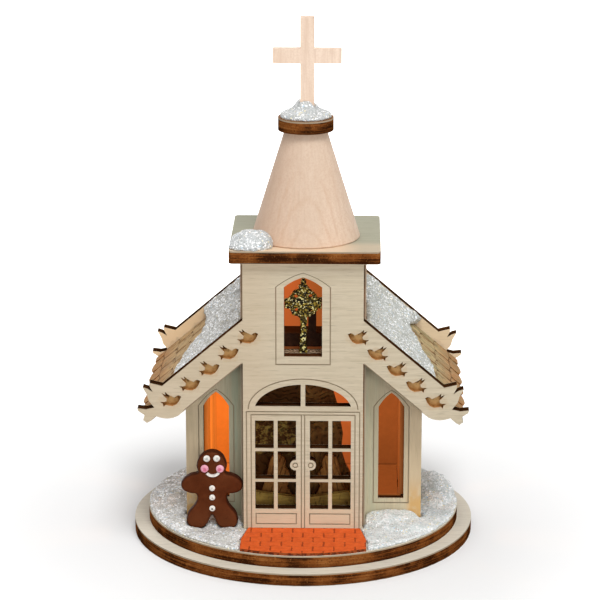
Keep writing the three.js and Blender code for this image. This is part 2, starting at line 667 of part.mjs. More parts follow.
function crossAt(clear = 0) {
  const thick = CROSS_THICK + 2 * clear;
  return upright(crossShape(clear), thick, STEEPLE_Y - thick / 2);
}

function topDisc() {
  const shape = disc(TOP_DISC_R, 0, 0, 36);
  const w = CROSS_STEM / 2 + SLOT_CLEARANCE;
  const t = CROSS_THICK / 2 + SLOT_CLEARANCE;
  shape.holes.push(rectangle(CROSS_X - w, -t, CROSS_X + w, t));
  return flat(shape, PLY, CONE_TOP).translate(0, STEEPLE_Y, 0);
}

function crossFootSnow() {
  const profile = [[0, 0], [6.2, 0], [6.3, 0.5], [5.5, 1.0], [4.3, 1.5], [3.2, 2.2], [2.4, 3.2], [1.8, 4.0], [0, 4.2]];
  const dome = solid(lathed(profile.map(([r, z]) => [r, z + TOP_DISC_TOP]), 28).translate(0, STEEPLE_Y, 0));
  return geometryOf(dome.subtract(solid(crossAt(SLOT_CLEARANCE))));
}

// Snow is built from a flat layer and low mounds, then trimmed to its outline
function mound(x, y, z, rx, ry, height) {
  const ball = new THREE.IcosahedronGeometry(1, 3);
  return solid(ball.scale(rx, ry, height).translate(x, y, z));
}

function capSnow() {
  const lump = mound(-12.9, -19.4, CAP_TOP + 0.4, 5.3, 4.4, 3.9)
    .add(mound(-15.2, -20.6, CAP_TOP + 0.2, 3.4, 3.2, 2.4));
  const above = solid(box(-CAP_SIZE / 2, CAP_Y - CAP_SIZE / 2, CAP_TOP, 0, STEEPLE_Y, CAP_TOP + 10));
  const slant = GAP * (CONE_BASE_R - CONE_TOP_R) / CONE_HEIGHT;
  const keepOff = [
    [0, CAP_TOP - 1], [CONE_BASE_R + GAP + slant, CAP_TOP - 1], [CONE_BASE_R + GAP + slant, CAP_TOP + 0.3],
    [CONE_TOP_R + GAP + slant, CONE_TOP], [0, CONE_TOP],
  ];
  const cone = solid(lathed(keepOff, CONE_SEGMENTS).translate(0, STEEPLE_Y, 0));
  return geometryOf(lump.intersect(above).subtract(cone));
}

// Points on the rim of a circle about the discs' centre, seen from the chapel's own frame
function rimPoints(radius, fromDeg, toDeg, steps) {
  const points = [];
  for (let i = 0; i <= steps; i++) {
    const a = THREE.MathUtils.degToRad(fromDeg + ((toDeg - fromDeg) * i) / steps);
    points.push([radius * Math.cos(a) - BUILDING_X, radius * Math.sin(a)]);
  }
  return points;
}

const rimY = (radius, x) => -Math.sqrt(radius ** 2 - (x + BUILDING_X) ** 2);

// Brick path from the doors to the rim of the upper disc
function brickPath() {
  const r = UPPER_DISC_R - PATH_RIM_INSET;
  const start = FRONT_Y - GAP / 2;
  const steps = 8;
  const front = [];
  for (let i = 0; i <= steps; i++) {
    const x = PATH_X - PATH_HALF_FAR + (2 * PATH_HALF_FAR * i) / steps;
    front.push([x, rimY(r, x)]);
  }
  return flat(polygon([
    [PATH_X - PATH_HALF_NEAR, start], [PATH_X - PATH_HALF_FAR, PATH_FLARE_Y], ...front,
    [PATH_X + PATH_HALF_FAR, PATH_FLARE_Y], [PATH_X + PATH_HALF_NEAR, start],
  ]), PATH_THICK, FLOOR);
}

// The snow at one side of the upper disc, from the path to the rear panel
function sideSnowOutline(side) {
  const r = UPPER_DISC_R - SNOW_RIM_INSET;
  const xPath = side * PATH_X + PATH_HALF_FAR + GAP;
  const startAngle = Math.atan2(rimY(r, side * xPath), side * xPath + BUILDING_X);
  const endAngle = THREE.MathUtils.radToDeg(Math.asin((REAR_Y - GAP) / r));
  const fromDeg = THREE.MathUtils.radToDeg(startAngle) + (side < 0 ? 360 : 0);
  const rim = rimPoints(r, fromDeg, side < 0 ? 180 - endAngle : endAngle, 20);
  return mirrored([
    [side * PATH_X + PATH_HALF_NEAR + GAP, FRONT_Y - GAP], [xPath, PATH_FLARE_Y],
    ...rim.map(([x, y]) => [side * x, y]),
    [SIDE_WALL_OUT + GAP, REAR_Y - GAP], [SIDE_WALL_OUT + GAP, NAVE_BACK + GAP],
    [NAVE_HALF + GAP, NAVE_BACK + GAP], [NAVE_HALF + GAP, NAVE_FRONT_Y - GAP],
    [TOWER_OUT + GAP, NAVE_FRONT_Y - GAP], [TOWER_OUT + GAP, PANEL_BACK - GAP],
    [TOWER_HALF + GAP, PANEL_BACK - GAP], [TOWER_HALF + GAP, FRONT_Y - GAP],
  ], side);
}

function rearSnowOutline() {
  const r = UPPER_DISC_R - SNOW_RIM_INSET;
  const angle = THREE.MathUtils.radToDeg(Math.asin((REAR_BACK + GAP) / r));
  return rimPoints(r, angle, 180 - angle, 16);
}

function baseSnow(points, mounds, keepOff) {
  const outline = polygon(points);
  const ground = solid(flat(outline, 12, FLOOR));
  let snow = solid(flat(outline, SNOW_SLAB, FLOOR));
  for (const [x, y, rx, ry, height] of mounds) snow = snow.add(mound(x, y, FLOOR, rx, ry, height));
  snow = snow.intersect(ground);
  for (const k of keepOff) snow = snow.subtract(k);
  return geometryOf(snow);
}

// Gingerbread figure: one closed curve through a half outline and its mirror, drawn 20.6 units high
const COOKIE_UNIT = COOKIE_HEIGHT / 20.6;
const COOKIE_ARM = 7.75 * COOKIE_UNIT; // from the middle to the end of an arm
const COOKIE_X = -(TOWER_HALF + COOKIE_TO_TOWER + COOKIE_ARM);
const inCookie = ([x, z]) => [x * COOKIE_UNIT, z * COOKIE_UNIT];
const COOKIE_HALF = [
  [0.9, 2.7], [1.7, 1.0], [3.0, 0.1], [4.6, 0.0], [6.0, 0.8], [6.3, 2.2], [5.8, 3.9], [4.6, 5.3],
  [3.75, 7.0], [3.95, 9.4], [6.0, 9.8], [7.4, 10.6], [7.75, 11.9], [7.0, 13.2], [5.4, 14.2], [3.5, 14.7],
  [3.1, 15.3], [3.6, 16.9], [3.0, 18.9], [1.6, 20.2],
];

const EYES = [[-1.2, 18.8], [1.3, 18.85]].map(inCookie);
const CHEEKS = [[-1.75, 16.15], [2.1, 16.15]].map(inCookie);
const BUTTONS = [[0.1, 11.0], [0.1, 8.55], [0.1, 5.65]].map(inCookie);
const SMILE_CENTRE = inCookie([0.25, 16.25]);
const SMILE_OUT_R = 2.2;
const SMILE_IN_R = 1.6;

function cookieOutline(grow = 0) {
  const outline = [[0, 4.0], ...COOKIE_HALF, [0, 20.6], ...mirrored(COOKIE_HALF, -1).reverse()];
  const points = outline.map(inCookie).map(([x, z]) => new THREE.Vector3(x, z, 0));
  const curve = new THREE.CatmullRomCurve3(points, true, "catmullrom", 0.5);
  const centre = new THREE.Vector3(0, COOKIE_HEIGHT / 2, 0);
  return curve.getPoints(70).slice(0, -1).map((p) => {
    const out = p.clone().sub(centre).normalize().multiplyScalar(grow);
    return [p.x + out.x, p.y + out.y];
  });
}

function cookieSolid(grow = 0) {
  const shape = polygon(cookieOutline(grow - COOKIE_EDGE * 0.6));
  const body = new THREE.ExtrudeGeometry(shape, {
    depth: COOKIE_THICK - 2 * COOKIE_EDGE + 2 * grow,
    bevelEnabled: true, bevelThickness: COOKIE_EDGE, bevelSize: COOKIE_EDGE * 0.6, bevelSegments: 1,
    curveSegments: 4,
  });
  body.rotateX(Math.PI / 2);
  body.translate(COOKIE_X, COOKIE_FRONT_Y + COOKIE_THICK - COOKIE_EDGE + grow, COOKIE_FOOT_Z);
  return body;
}

// Icing dot with a domed face, lying on the figure's flat front
function icingDot(x, z, radius) {
  const profile = [[0, 0], [radius, 0], [radius, 0.4 * ICING], [0.7 * radius, 0.85 * ICING], [0, ICING]];
  const dot = new THREE.LatheGeometry(profile.map(([r, h]) => new THREE.Vector2(r, h)), 14);
  dot.rotateX(Math.PI);
  return dot.translate(COOKIE_X + x, COOKIE_FRONT_Y, COOKIE_FOOT_Z + z);
}

function smile() {
  const steps = 8;
  const from = THREE.MathUtils.degToRad(-48);
  const to = THREE.MathUtils.degToRad(60);
  const arc = (radius) => {
    const points = [];
    for (let i = 0; i <= steps; i++) {
      const a = from + ((to - from) * i) / steps;
      points.push([SMILE_CENTRE[0] + radius * Math.sin(a), SMILE_CENTRE[1] - radius * Math.cos(a)]);
    }
    return points;
  };
  const outline = polygon([...arc(SMILE_OUT_R), ...arc(SMILE_IN_R).reverse()]);
  let icing = solid(upright(outline, ICING, COOKIE_FRONT_Y - ICING));
  for (const [x, z] of CHEEKS) {
    icing = icing.subtract(solid(upright(disc(CHEEK_R + 0.1, x, z), 2 * ICING, COOKIE_FRONT_Y - 1.5 * ICING)));
  }
  return geometryOf(icing).translate(COOKIE_X, 0, COOKIE_FOOT_Z);
}

// Scene behind the doors: three standing layers of thin ply, drawn on a grid 12.1 units to each side
const SCENE_GROUND_Y = -15.6;
const SCENE_FIGURES_Y = -11.8;
const SCENE_BACKDROP_Y = -7.0;
const SCENE_HALF = TOWER_IN - GAP;
const SCENE_UNIT = SCENE_HALF / 12.1;
const BACKDROP_REACH = 4; // of the backdrop past the layers' left end, behind the nave's left wall
const inScene = ([x, z]) => [x * SCENE_UNIT, FLOOR + z * SCENE_UNIT];
const GROUND_LINE = [[12.1, 8.2], [8, 7.6], [2, 6.7], [-4, 6.8], [-9, 7.5], [-12.1, 7.9]];
const MANGER = [[-1.9, 2.2], [-2.1, 4.8], [-1.2, 6.0], [0, 6.5], [1.2, 6.0], [2.1, 4.8], [1.9, 2.2]];
const KNEELING = [
  [2.6, 2.2], [3.2, 5.8], [4.3, 8.2], [3.3, 10.0], [3.9, 12.2], [4.9, 13.2], [4.6, 14.5], [5.3, 16.2],
  [6.9, 16.8], [8.3, 15.8], [8.9, 13.8], [9.4, 11.0], [10.6, 7.2], [11.4, 3.2], [11.6, 2.0],
];
const HILLSIDE = [
  [12.1, 8.1], [12.0, 9.8], [10.6, 12.4], [9.7, 15.4], [9.6, 17.6], [9.9, 20.6], [9.3, 23.8], [8.5, 28.2],
  [7.4, 32.0], [3.4, 34.6], [-1.0, 36.6], [-5.4, 35.2], [-12.1, 32.2],
];

function sceneGround() {
  const line = new THREE.SplineCurve(GROUND_LINE.map((p) => new THREE.Vector2(...inScene(p))));
  const top = line.getPoints(15).map((p) => [p.x, p.y]);
  return upright(polygon([[-SCENE_HALF, FLOOR], [SCENE_HALF, FLOOR], ...top]), THIN_PLY, SCENE_GROUND_Y);
}

// Two kneeling figures, one on each side of a manger
function sceneFigures() {
  return upright(polygon([
    [-SCENE_HALF, FLOOR], [SCENE_HALF, FLOOR], inScene([12.1, 1.6]),
    ...KNEELING.map(inScene).reverse(), ...MANGER.map(inScene).reverse(),
    ...mirrored(KNEELING.map(inScene), -1), inScene([-12.1, 1.6]),
  ]), THIN_PLY, SCENE_FIGURES_Y);
}

// Stable and hillside: dark at the left up to the roof, falling in steps at the right
function sceneBackdrop() {
  const left = -SCENE_HALF - BACKDROP_REACH;
  const hill = HILLSIDE.map(inScene);
  const outline = [[left, FLOOR], [SCENE_HALF, FLOOR], ...hill, [left, hill[hill.length - 1][1]]];
  return upright(polygon(outline), THIN_PLY, SCENE_BACKDROP_Y);
}

// Belfry: a gold cross on a ring in the window, and the dark stand behind it
const RING_R = 3.7;
const RING_Z = BELFRY_SILL + 12.7;
const GOLD_THICK = 1.2;
const GOLD_BEHIND = 0.15; // from the panel's back to the cross
const STAND_Y = -13.2;
const POST_X = 1.1;
const POST_WIDTH = 2.0;
const POST_HEIGHT = 12.5;
const BEAM_HEIGHT = 3.4;
function goldCross() {
  const r = RING_R;
  const upper = [
    [0.27 * r, RING_Z - 0.27 * r], [1.22 * r, RING_Z - 0.35 * r], [1.22 * r, RING_Z + 0.35 * r],
    [0.27 * r, RING_Z + 0.27 * r], [0.34 * r, RING_Z + 0.86 * r], [0.07 * r, RING_Z + 1.7 * r],
  ];
  const stem = [[0.26 * r, BELFRY_SILL], [0.19 * r, BELFRY_SILL + 0.5 * r], [0.2 * r, RING_Z - 0.8 * r]];
  const arms = polygon([
    ...stem, ...upper, ...mirrored(upper, -1).reverse(), ...mirrored(stem, -1).reverse(),
  ]);
  const y = PANEL_BACK + GOLD_BEHIND;
  let cross = solid(upright(arms, GOLD_THICK, y));
  cross = cross.add(solid(upright(disc(r, 0, RING_Z, 24), GOLD_THICK, y)));
  for (const [sx, sz] of [[1, 1], [-1, 1], [1, -1], [-1, -1]]) {
    const eyelet = disc(0.15 * r, sx * 0.47 * r, RING_Z + sz * 0.47 * r, 10);
    cross = cross.subtract(solid(upright(eyelet, 2 * GOLD_THICK, y - GOLD_THICK / 2)));
  }
  return geometryOf(cross);
}

function crossStand() {
  const half = TOWER_IN - GAP;
  const beamTop = BELFRY_SILL + BEAM_HEIGHT;
  const postTop = BELFRY_SILL + POST_HEIGHT;
  return upright(polygon([
    [-half, BELFRY_SILL], [half, BELFRY_SILL], [half, beamTop], [POST_X + POST_WIDTH, beamTop],
    [POST_X + POST_WIDTH, postTop], [POST_X, postTop], [POST_X, beamTop], [-half, beamTop],
  ]), THIN_PLY, STAND_Y);
}

// Amber card folded along the nave's back: one leaf stands, one lies on the floor round the lamp
function amberLiner() {
  const half = SIDE_WALL_IN - GAP;
  const back = REAR_Y - CARD_GAP;
  const front = SCENE_BACKDROP_Y + THIN_PLY + GAP;
  const narrow = TOWER_IN - GAP;
  const leaf = rectangle(-half, NAVE_BACK + GAP, half, back);
  const upper = solid(box(-half, back - CARD, FLOOR, half, back, wallTop(half)));
  const lower = solid(flat(leaf, CARD, FLOOR));
  const hole = solid(flat(disc(LIGHT_HOLE_R, 0, LIGHT_Y, LIGHT_HOLE_SEGMENTS), 4, FLOOR - 1));
  const clear = solid(box(-narrow - GAP - BACKDROP_REACH, NAVE_BACK - 1, FLOOR - 1, narrow + GAP, front, FLOOR + 2));
  const backs = solid(box(-TOWER_OUT - GAP, NAVE_BACK - 1, FLOOR - 1, TOWER_OUT + GAP, NAVE_BACK + 2 * GAP, FLOOR + 2));
  return geometryOf(lower.add(upper).subtract(hole).subtract(clear).subtract(backs));
}

function belfryLiner() {
  const y = TOWER_BACK_Y - PLY - CARD - CARD_GAP;
  return box(-TOWER_IN + GAP, y, BELFRY_SILL, TOWER_IN - GAP, y + CARD, TOWER_TOP - GAP);
}

// Lamp: a plastic holder pushed into the base's light hole, and its small bulb
const HOLDER_R = LIGHT_HOLE_R - GAP;
const HOLDER_FOOT = 0.5;
const HOLDER_TOP = 14.0;
const BULB_R = 3.1;
const BULB_SEAT = 9.0;
const BULB_HEIGHT = 19.0;
function bulbHolder() {
  const cup = BULB_R + GAP;
  return lathed([
    [0, HOLDER_FOOT + 4], [cup, HOLDER_FOOT + 4], [cup, HOLDER_FOOT], [HOLDER_R, HOLDER_FOOT],
    [HOLDER_R, FLOOR + 1.5], [cup + 1.3, FLOOR + 2.5], [cup + 1.1, HOLDER_TOP], [cup, HOLDER_TOP],
    [cup, BULB_SEAT], [0, BULB_SEAT],
  ], 24).translate(0, LIGHT_Y, 0);
}

function lightBulb() {
  const top = BULB_SEAT + BULB_HEIGHT;
  return lathed([
    [0, BULB_SEAT], [BULB_R, BULB_SEAT], [BULB_R, top - 5.5], [0.8 * BULB_R, top - 3.2], [0.3 * BULB_R, top - 1.4],
    [0, top],
  ], 20).translate(0, LIGHT_Y, 0);
}

// The chapel's pieces; walls come before the upper disc, which is slotted for them
add("front_panel", frontPanel(), BIRCH);
for (const [word, side] of [["left", -1], ["right", 1]]) {
  add(`nave_front_${word}`, naveFront(side), BIRCH);
  add(`nave_side_${word}`, naveSide(side), BIRCH);
  add(`tower_side_${word}`, towerSide(side), BIRCH);
  add(`roof_${word}`, roofPanel(side), ROOF_WOOD);
  add(`snow_roof_${word}`, roofSnow(side), SNOW);
}
add("rear_panel", rearPanel(), BIRCH);
add("tower_back", box(-TOWER_IN, TOWER_BACK_Y - PLY, BELFRY_FOOT, TOWER_IN, TOWER_BACK_Y, TOWER_TOP), BIRCH);
add("tower_floor", box(-TOWER_IN, PANEL_BACK, BELFRY_SILL - PLY, TOWER_IN, TOWER_BACK_Y - PLY, BELFRY_SILL), BIRCH);
add("snow_ridge", ridgeSnow(), SNOW);

const steeple = new THREE.Group();
steeple.position.set(CAP_X, 0, 0);
chapel.add(steeple);
add("tower_cap", towerCap(), BIRCH, steeple);
const dowel = new THREE.CylinderGeometry(DOWEL_R, DOWEL_R, PLY + DOWEL_IN_CONE, 20).rotateX(Math.PI / 2);
add("steeple_dowel", dowel.translate(0, STEEPLE_Y, TOWER_TOP + (PLY + DOWEL_IN_CONE) / 2), MAPLE, steeple);
add("steeple_cone", steepleCone().translate(0, STEEPLE_Y, 0), MAPLE, steeple);
add("steeple_disc", topDisc(), BIRCH, steeple);
add("steeple_cross", crossAt(), MAPLE, steeple);
add("snow_cap", capSnow(), SNOW, steeple);
add("snow_cross_foot", crossFootSnow(), SNOW, steeple);

add("gingerbread_body", cookieSolid(), COOKIE);
for (const [i, word] of ["left", "right"].entries()) {
  add(`gingerbread_eye_${word}`, icingDot(...EYES[i], EYE_R), WHITE_ICING);
  add(`gingerbread_cheek_${word}`, icingDot(...CHEEKS[i], CHEEK_R), PINK_ICING);
}
add("gingerbread_smile", smile(), WHITE_ICING);
for (const [i, spot] of BUTTONS.entries()) {
  add(`gingerbread_button_${i + 1}`, icingDot(...spot, BUTTON_R), WHITE_ICING);
}

add("nativity_ground", sceneGround(), OLIVE_STAIN);
add("nativity_figures", sceneFigures(), FIGURE_STAIN);
add("nativity_backdrop", sceneBackdrop(), DARK_STAIN);
add("belfry_gold_cross", goldCross(), GOLD);
add("belfry_cross_stand", crossStand(), DARK_STAIN);
add("amber_liner", amberLiner(), AMBER);
add("belfry_liner", belfryLiner(), AMBER);
add("bulb_holder", bulbHolder(), HOLDER_PLASTIC);
add("light_bulb", lightBulb(), LAMP_GLASS);

// Base discs about the origin, the path and the snow on them
function baseDisc(radius, z, holes) {
  const lightHole = disc(LIGHT_HOLE_R, BUILDING_X, LIGHT_Y, LIGHT_HOLE_SEGMENTS);
  return geometryOf(pierced(flat, disc(radius, 0, 0, DISC_SEGMENTS), [lightHole, ...holes], PLY, z));
}

const shifted = (shape) => polygon(shape.getPoints().map((p) => [p.x + BUILDING_X, p.y]));
add("lower_base_disc", baseDisc(LOWER_DISC_R, 0, []), BIRCH, ornament);
add("upper_base_disc", baseDisc(UPPER_DISC_R, PLY, slots.map(shifted)), BIRCH, ornament);
add("brick_path", brickPath(), BRICK);
const cookieRoom = solid(cookieSolid(GAP));
add("snow_base_left", baseSnow(sideSnowOutline(-1), MOUNDS_LEFT, [cookieRoom]), SNOW);
add("snow_base_right", baseSnow(sideSnowOutline(1), MOUNDS_RIGHT, []), SNOW);
add("snow_base_rear", baseSnow(rearSnowOutline(), MOUNDS_REAR, []), SNOW);

export default ornament;
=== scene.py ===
"""Looks of the nativity chapel ornament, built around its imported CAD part. Run by Blender; metres."""

import math

import bmesh
import bpy
from mathutils import Matrix, Vector, noise


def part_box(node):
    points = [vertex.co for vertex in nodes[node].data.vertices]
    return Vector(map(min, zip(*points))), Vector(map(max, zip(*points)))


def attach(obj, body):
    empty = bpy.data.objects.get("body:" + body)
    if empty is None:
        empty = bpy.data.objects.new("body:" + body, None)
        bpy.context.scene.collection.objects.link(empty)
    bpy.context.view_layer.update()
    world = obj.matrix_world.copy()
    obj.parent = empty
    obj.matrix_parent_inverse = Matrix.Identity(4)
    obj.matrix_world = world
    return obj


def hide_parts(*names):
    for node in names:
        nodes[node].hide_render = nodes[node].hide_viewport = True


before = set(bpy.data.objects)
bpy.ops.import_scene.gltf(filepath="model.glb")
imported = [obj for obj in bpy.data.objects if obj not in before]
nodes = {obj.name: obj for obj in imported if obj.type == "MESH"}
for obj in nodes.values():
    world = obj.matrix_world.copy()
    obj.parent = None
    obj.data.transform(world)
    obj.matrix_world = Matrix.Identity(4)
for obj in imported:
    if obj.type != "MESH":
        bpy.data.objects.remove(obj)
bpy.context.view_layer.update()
MM = 0.001

# Sizes repeated from the part, in millimetres; x is counted from the building's middle, BUILDING_X
PLY = 3.2
FLOOR = 6.4
BUILDING_X = 0.4
FRONT_Y = -22.2
NAVE_FRONT_Y = -13.1
REAR_BACK = 30.6
SIDE_WALL_OUT = 27.6
ROOM = SIDE_WALL_OUT - PLY + 0.2  # how far the room inside reaches to either side
INSIDE_TOP = 43.0  # and how high
TOWER_OUT = 15.52
TOWER_HALF = 14.87
WING_DEPTH = 10.9  # from the top edge straight down to the lower edge
TOWER_BACK_Y = 8.7
BELFRY_SILL = 52.0
CAP_TOP = 79.2
TOP_DISC_TOP = 109.4
ROOF_ANGLE = math.radians(40.4)
WING_TOP = 61.2  # the wings' top edge where it leaves the tower
ROOF_DROP = 2.5  # the roof lies this far below that edge, square to it
RIDGE_Z = WING_TOP + TOWER_HALF * math.tan(ROOF_ANGLE)
ROOF_TOP_Z = RIDGE_Z - ROOF_DROP / math.cos(ROOF_ANGLE)
DOVE_FIRST_X = 13.65  # the dove nearest the tower
DOVE_STEP_X = 6.29 * math.cos(ROOF_ANGLE)
DOVE_DROP = 5.3  # from the wing's top edge straight down to a dove's middle
DOVE_DEPTH = 1.2
DOVE_REACH = 3.2  # no point of a dove is further from its middle
LAST_DOVE = 4.0  # counted from 0
EAVE_S = 52.6  # from the ridge line down the slope to the eave
NOTCH_PITCH = 8.8
NOTCH_Y = 22.8  # a notch between two of the eave's shingles
SHINGLE_ROW = 5.1
ROWS_FROM_S = EAVE_S + 2.0  # shingle rows are counted up from here
UNDER_LINES = 0.42  # engraved lines are shallower than this
SKIN = 0.03  # what lies this close to a face belongs to it

# Camera at the photo's viewing angle
PHOTO_PX = 600
FOCAL_PX = 2602.3
SENSOR = 36
CAMERA_YAW = -0.0215
CAMERA_PITCH = 0.273
CAMERA_PLACE = (0.012849, -0.635435, 0.238274)


def aim_camera():
    """A camera without roll that looks down by the pitch and, as the yaw is negative, a little left."""
    level = math.cos(CAMERA_PITCH)
    ahead = Vector((math.sin(CAMERA_YAW) * level, math.cos(CAMERA_YAW) * level, -math.sin(CAMERA_PITCH)))
    right = Vector((math.cos(CAMERA_YAW), -math.sin(CAMERA_YAW), 0.0))
    data = bpy.data.cameras.new("camera")
    data.lens = FOCAL_PX / PHOTO_PX * SENSOR
    data.sensor_width = SENSOR
    camera = bpy.data.objects.new("camera", data)
    turn = Matrix((right, right.cross(ahead), -ahead)).transposed().to_4x4()
    camera.matrix_world = Matrix.Translation(CAMERA_PLACE) @ turn
    bpy.context.scene.collection.objects.link(camera)
    bpy.context.scene.camera = camera


aim_camera()


class Look:
    """A material whose nodes are made from arithmetic on the position in millimetres: x, y and z, and
    side, which is x from the building's middle."""

    def __init__(self, name, roughness=0.6, **shader):
        self.mat = bpy.data.materials.new(name)
        self.mat.use_nodes = True
        self.tree = self.mat.node_tree
        self.shader = self.tree.nodes["Principled BSDF"]
        self.put("Roughness", roughness)
        self.put("Specular IOR Level", 0.15)
        for key, value in shader.items():
            self.put(key.replace("_", " "), value)
        where = self.tree.nodes.new("ShaderNodeTexCoord").outputs["Object"]
        self.mm = self.vector("SCALE", where, scale=1 / MM)
        self.x, self.y, self.z = self.split(self.mm)
        self.side = self.minus(self.x, BUILDING_X)

    def put(self, socket, value):
        self.feed(self.shader, socket, value)

    def feed(self, node, socket, value):
        """Link the value to the socket or set it there; a colour of three numbers gets its alpha."""
        if value is None:
            return
        target = node.inputs[socket]
        if hasattr(value, "is_linked"):
            self.tree.links.new(value, target)
        elif hasattr(value, "__len__") and len(value) == 3 and len(target.default_value) == 4:
            target.default_value = (*value, 1.0)
        else:
            target.default_value = value

    def math(self, op, a, b=None):
        node = self.tree.nodes.new("ShaderNodeMath")
        node.operation = op
        self.feed(node, 0, a)
        self.feed(node, 1, b)
        return node.outputs[0]

    def size(self, a):
        return self.math("ABSOLUTE", a)

    def least(self, a, b):
        return self.math("MINIMUM", a, b)

    def most(self, a, b):
        return self.math("MAXIMUM", a, b)

    def less(self, a, b):
        return self.math("LESS_THAN", a, b)

    def more(self, a, b):
        return self.math("GREATER_THAN", a, b)

    def swing(self, a, top):
        """Rises and falls between 0 and top as a grows."""
        return self.math("PINGPONG", a, top)

    def plus(self, a, b):
        return self.math("ADD", a, b)

    def minus(self, a, b):
        return self.math("SUBTRACT", a, b)

    def times(self, a, b):
        return self.math("MULTIPLY", a, b)

    def vector(self, op, a, b=None, scale=None):
        node = self.tree.nodes.new("ShaderNodeVectorMath")
        node.operation = op
        self.feed(node, 0, a)
        self.feed(node, 1, b)
        self.feed(node, 3, scale)
        return node.outputs["Value"] if op in ("DOT_PRODUCT", "LENGTH") else node.outputs[0]

    def split(self, value):
        node = self.tree.nodes.new("ShaderNodeSeparateXYZ")
        self.feed(node, 0, value)
        return node.outputs

    def noise(self, scale, stretch=(1, 1, 1), detail=3.0, rough=0.55):
        node = self.tree.nodes.new("ShaderNodeTexNoise")
        self.feed(node, "Vector", self.vector("MULTIPLY", self.mm, stretch))
        self.feed(node, "Scale", scale)
        self.feed(node, "Detail", detail)
        self.feed(node, "Roughness", rough)
        return node.outputs["Fac"]

    def cells(self, scale, output="Color"):
        """A number for each cell of a fine pattern, or with Distance the way to its middle."""
        node = self.tree.nodes.new("ShaderNodeTexVoronoi")
        self.feed(node, "Vector", self.mm)
        self.feed(node, "Scale", scale)
        return node.outputs[output]

    def ramp(self, value, low, high, to_low=0.0, to_high=1.0):
        """Goes smoothly from to_low to to_high as the value goes from low to high."""
        node = self.tree.nodes.new("ShaderNodeMapRange")
        node.interpolation_type = "SMOOTHSTEP"
        for i, v in enumerate((value, low, high, to_low, to_high)):
            self.feed(node, i, v)
        return node.outputs[0]

    def mix(self, share, a, b):
        node = self.tree.nodes.new("ShaderNodeMix")
        node.data_type = "RGBA"
        self.feed(node, 0, share)
        self.feed(node, 6, a)
        self.feed(node, 7, b)
        return node.outputs[2]

    def bump(self, height, distance, strength=1.0):
        node = self.tree.nodes.new("ShaderNodeBump")
        self.feed(node, "Height", height)
        self.feed(node, "Distance", distance * MM)
        self.feed(node, "Strength", strength)
        return node.outputs[0]

    def away(self, u, v):
        """How far a place with these two offsets is from their origin."""
        return self.math("SQRT", self.plus(self.times(u, u), self.times(v, v)))

    def facing(self):
        """How squarely a face looks along each axis, from 1 to -1."""
        return self.split(self.tree.nodes.new("ShaderNodeNewGeometry").outputs["Normal"])


def dress(look, *names):
    """Give the nodes this look as their only material."""
    for name in names:
        data = nodes[name].data
        data.materials.clear()
        data.materials.append(look.mat)


# The light of the lamp inside: strong at the left and weaker at the right
GLOW_LEFT = (0.84, 0.19, 0.02)
GLOW_MIDDLE = (0.46, 0.102, 0.021)
GLOW_RIGHT = (0.31, 0.077, 0.015)
LAMP_Z = 25.0
BACK_FOOT = 7.0  # the back rises from the floor here


def lamplight(look):
    """Brightest at the lamp's height, with a dark line at the foot of the back and a brighter floor;
    the side walls have a bright upright strip, and are darker in front of it."""
    tone = look.mix(look.ramp(look.side, -18, -4), GLOW_LEFT, GLOW_MIDDLE)
    tone = look.mix(look.ramp(look.side, 8, 20), tone, GLOW_RIGHT)
    height = look.ramp(look.size(look.minus(look.z, LAMP_Z)), 1, 20, 1.0, 0.74)
    line = look.ramp(look.z, BACK_FOOT + 0.5, BACK_FOOT + 0.3, 1.0, 0.7)
    low = look.times(line, look.ramp(look.z, BACK_FOOT, BACK_FOOT - 0.1, 1.0, 1.6))
    level = look.times(look.times(height, low), look.ramp(look.noise(0.6), 0.2, 0.8, 0.93, 1.06))
    strip = look.plus(look.ramp(look.y, 1.5, 2.2, 0.74, 1.3), look.ramp(look.y, 8.5, 9.5, 0.0, -0.3))
    wall = look.more(look.size(look.side), SIDE_WALL_OUT - PLY - 0.1)
    level = look.times(level, look.plus(1.0, look.times(wall, look.minus(strip, 1.0))))
    return look.vector("SCALE", tone, scale=level)


# Plywood: colours of the faces, and of the burnt edges as their middle, dark and light tones
PALE = (0.66, 0.57, 0.425)
PALE_DEEP = (0.52, 0.435, 0.30)
SIDE_PALE = (0.82, 0.69, 0.53)
SIDE_DEEP = (0.66, 0.54, 0.39)
GREY_PALE = (0.80, 0.735, 0.615)
GREY_DEEP = (0.66, 0.60, 0.49)
BROWN_EDGES = ((0.22, 0.068, 0.015), (0.035, 0.010, 0.003), (0.37, 0.15, 0.042))
DARK_EDGES = ((0.06, 0.02, 0.006), (0.018, 0.007, 0.002), (0.10, 0.04, 0.014))
ENGRAVED = (0.41, 0.325, 0.225)
# Painted shade: the dark brown of the inside faces under the painted lamplight
INSIDE_SHADE_BROWN = (0.18, 0.08, 0.03)


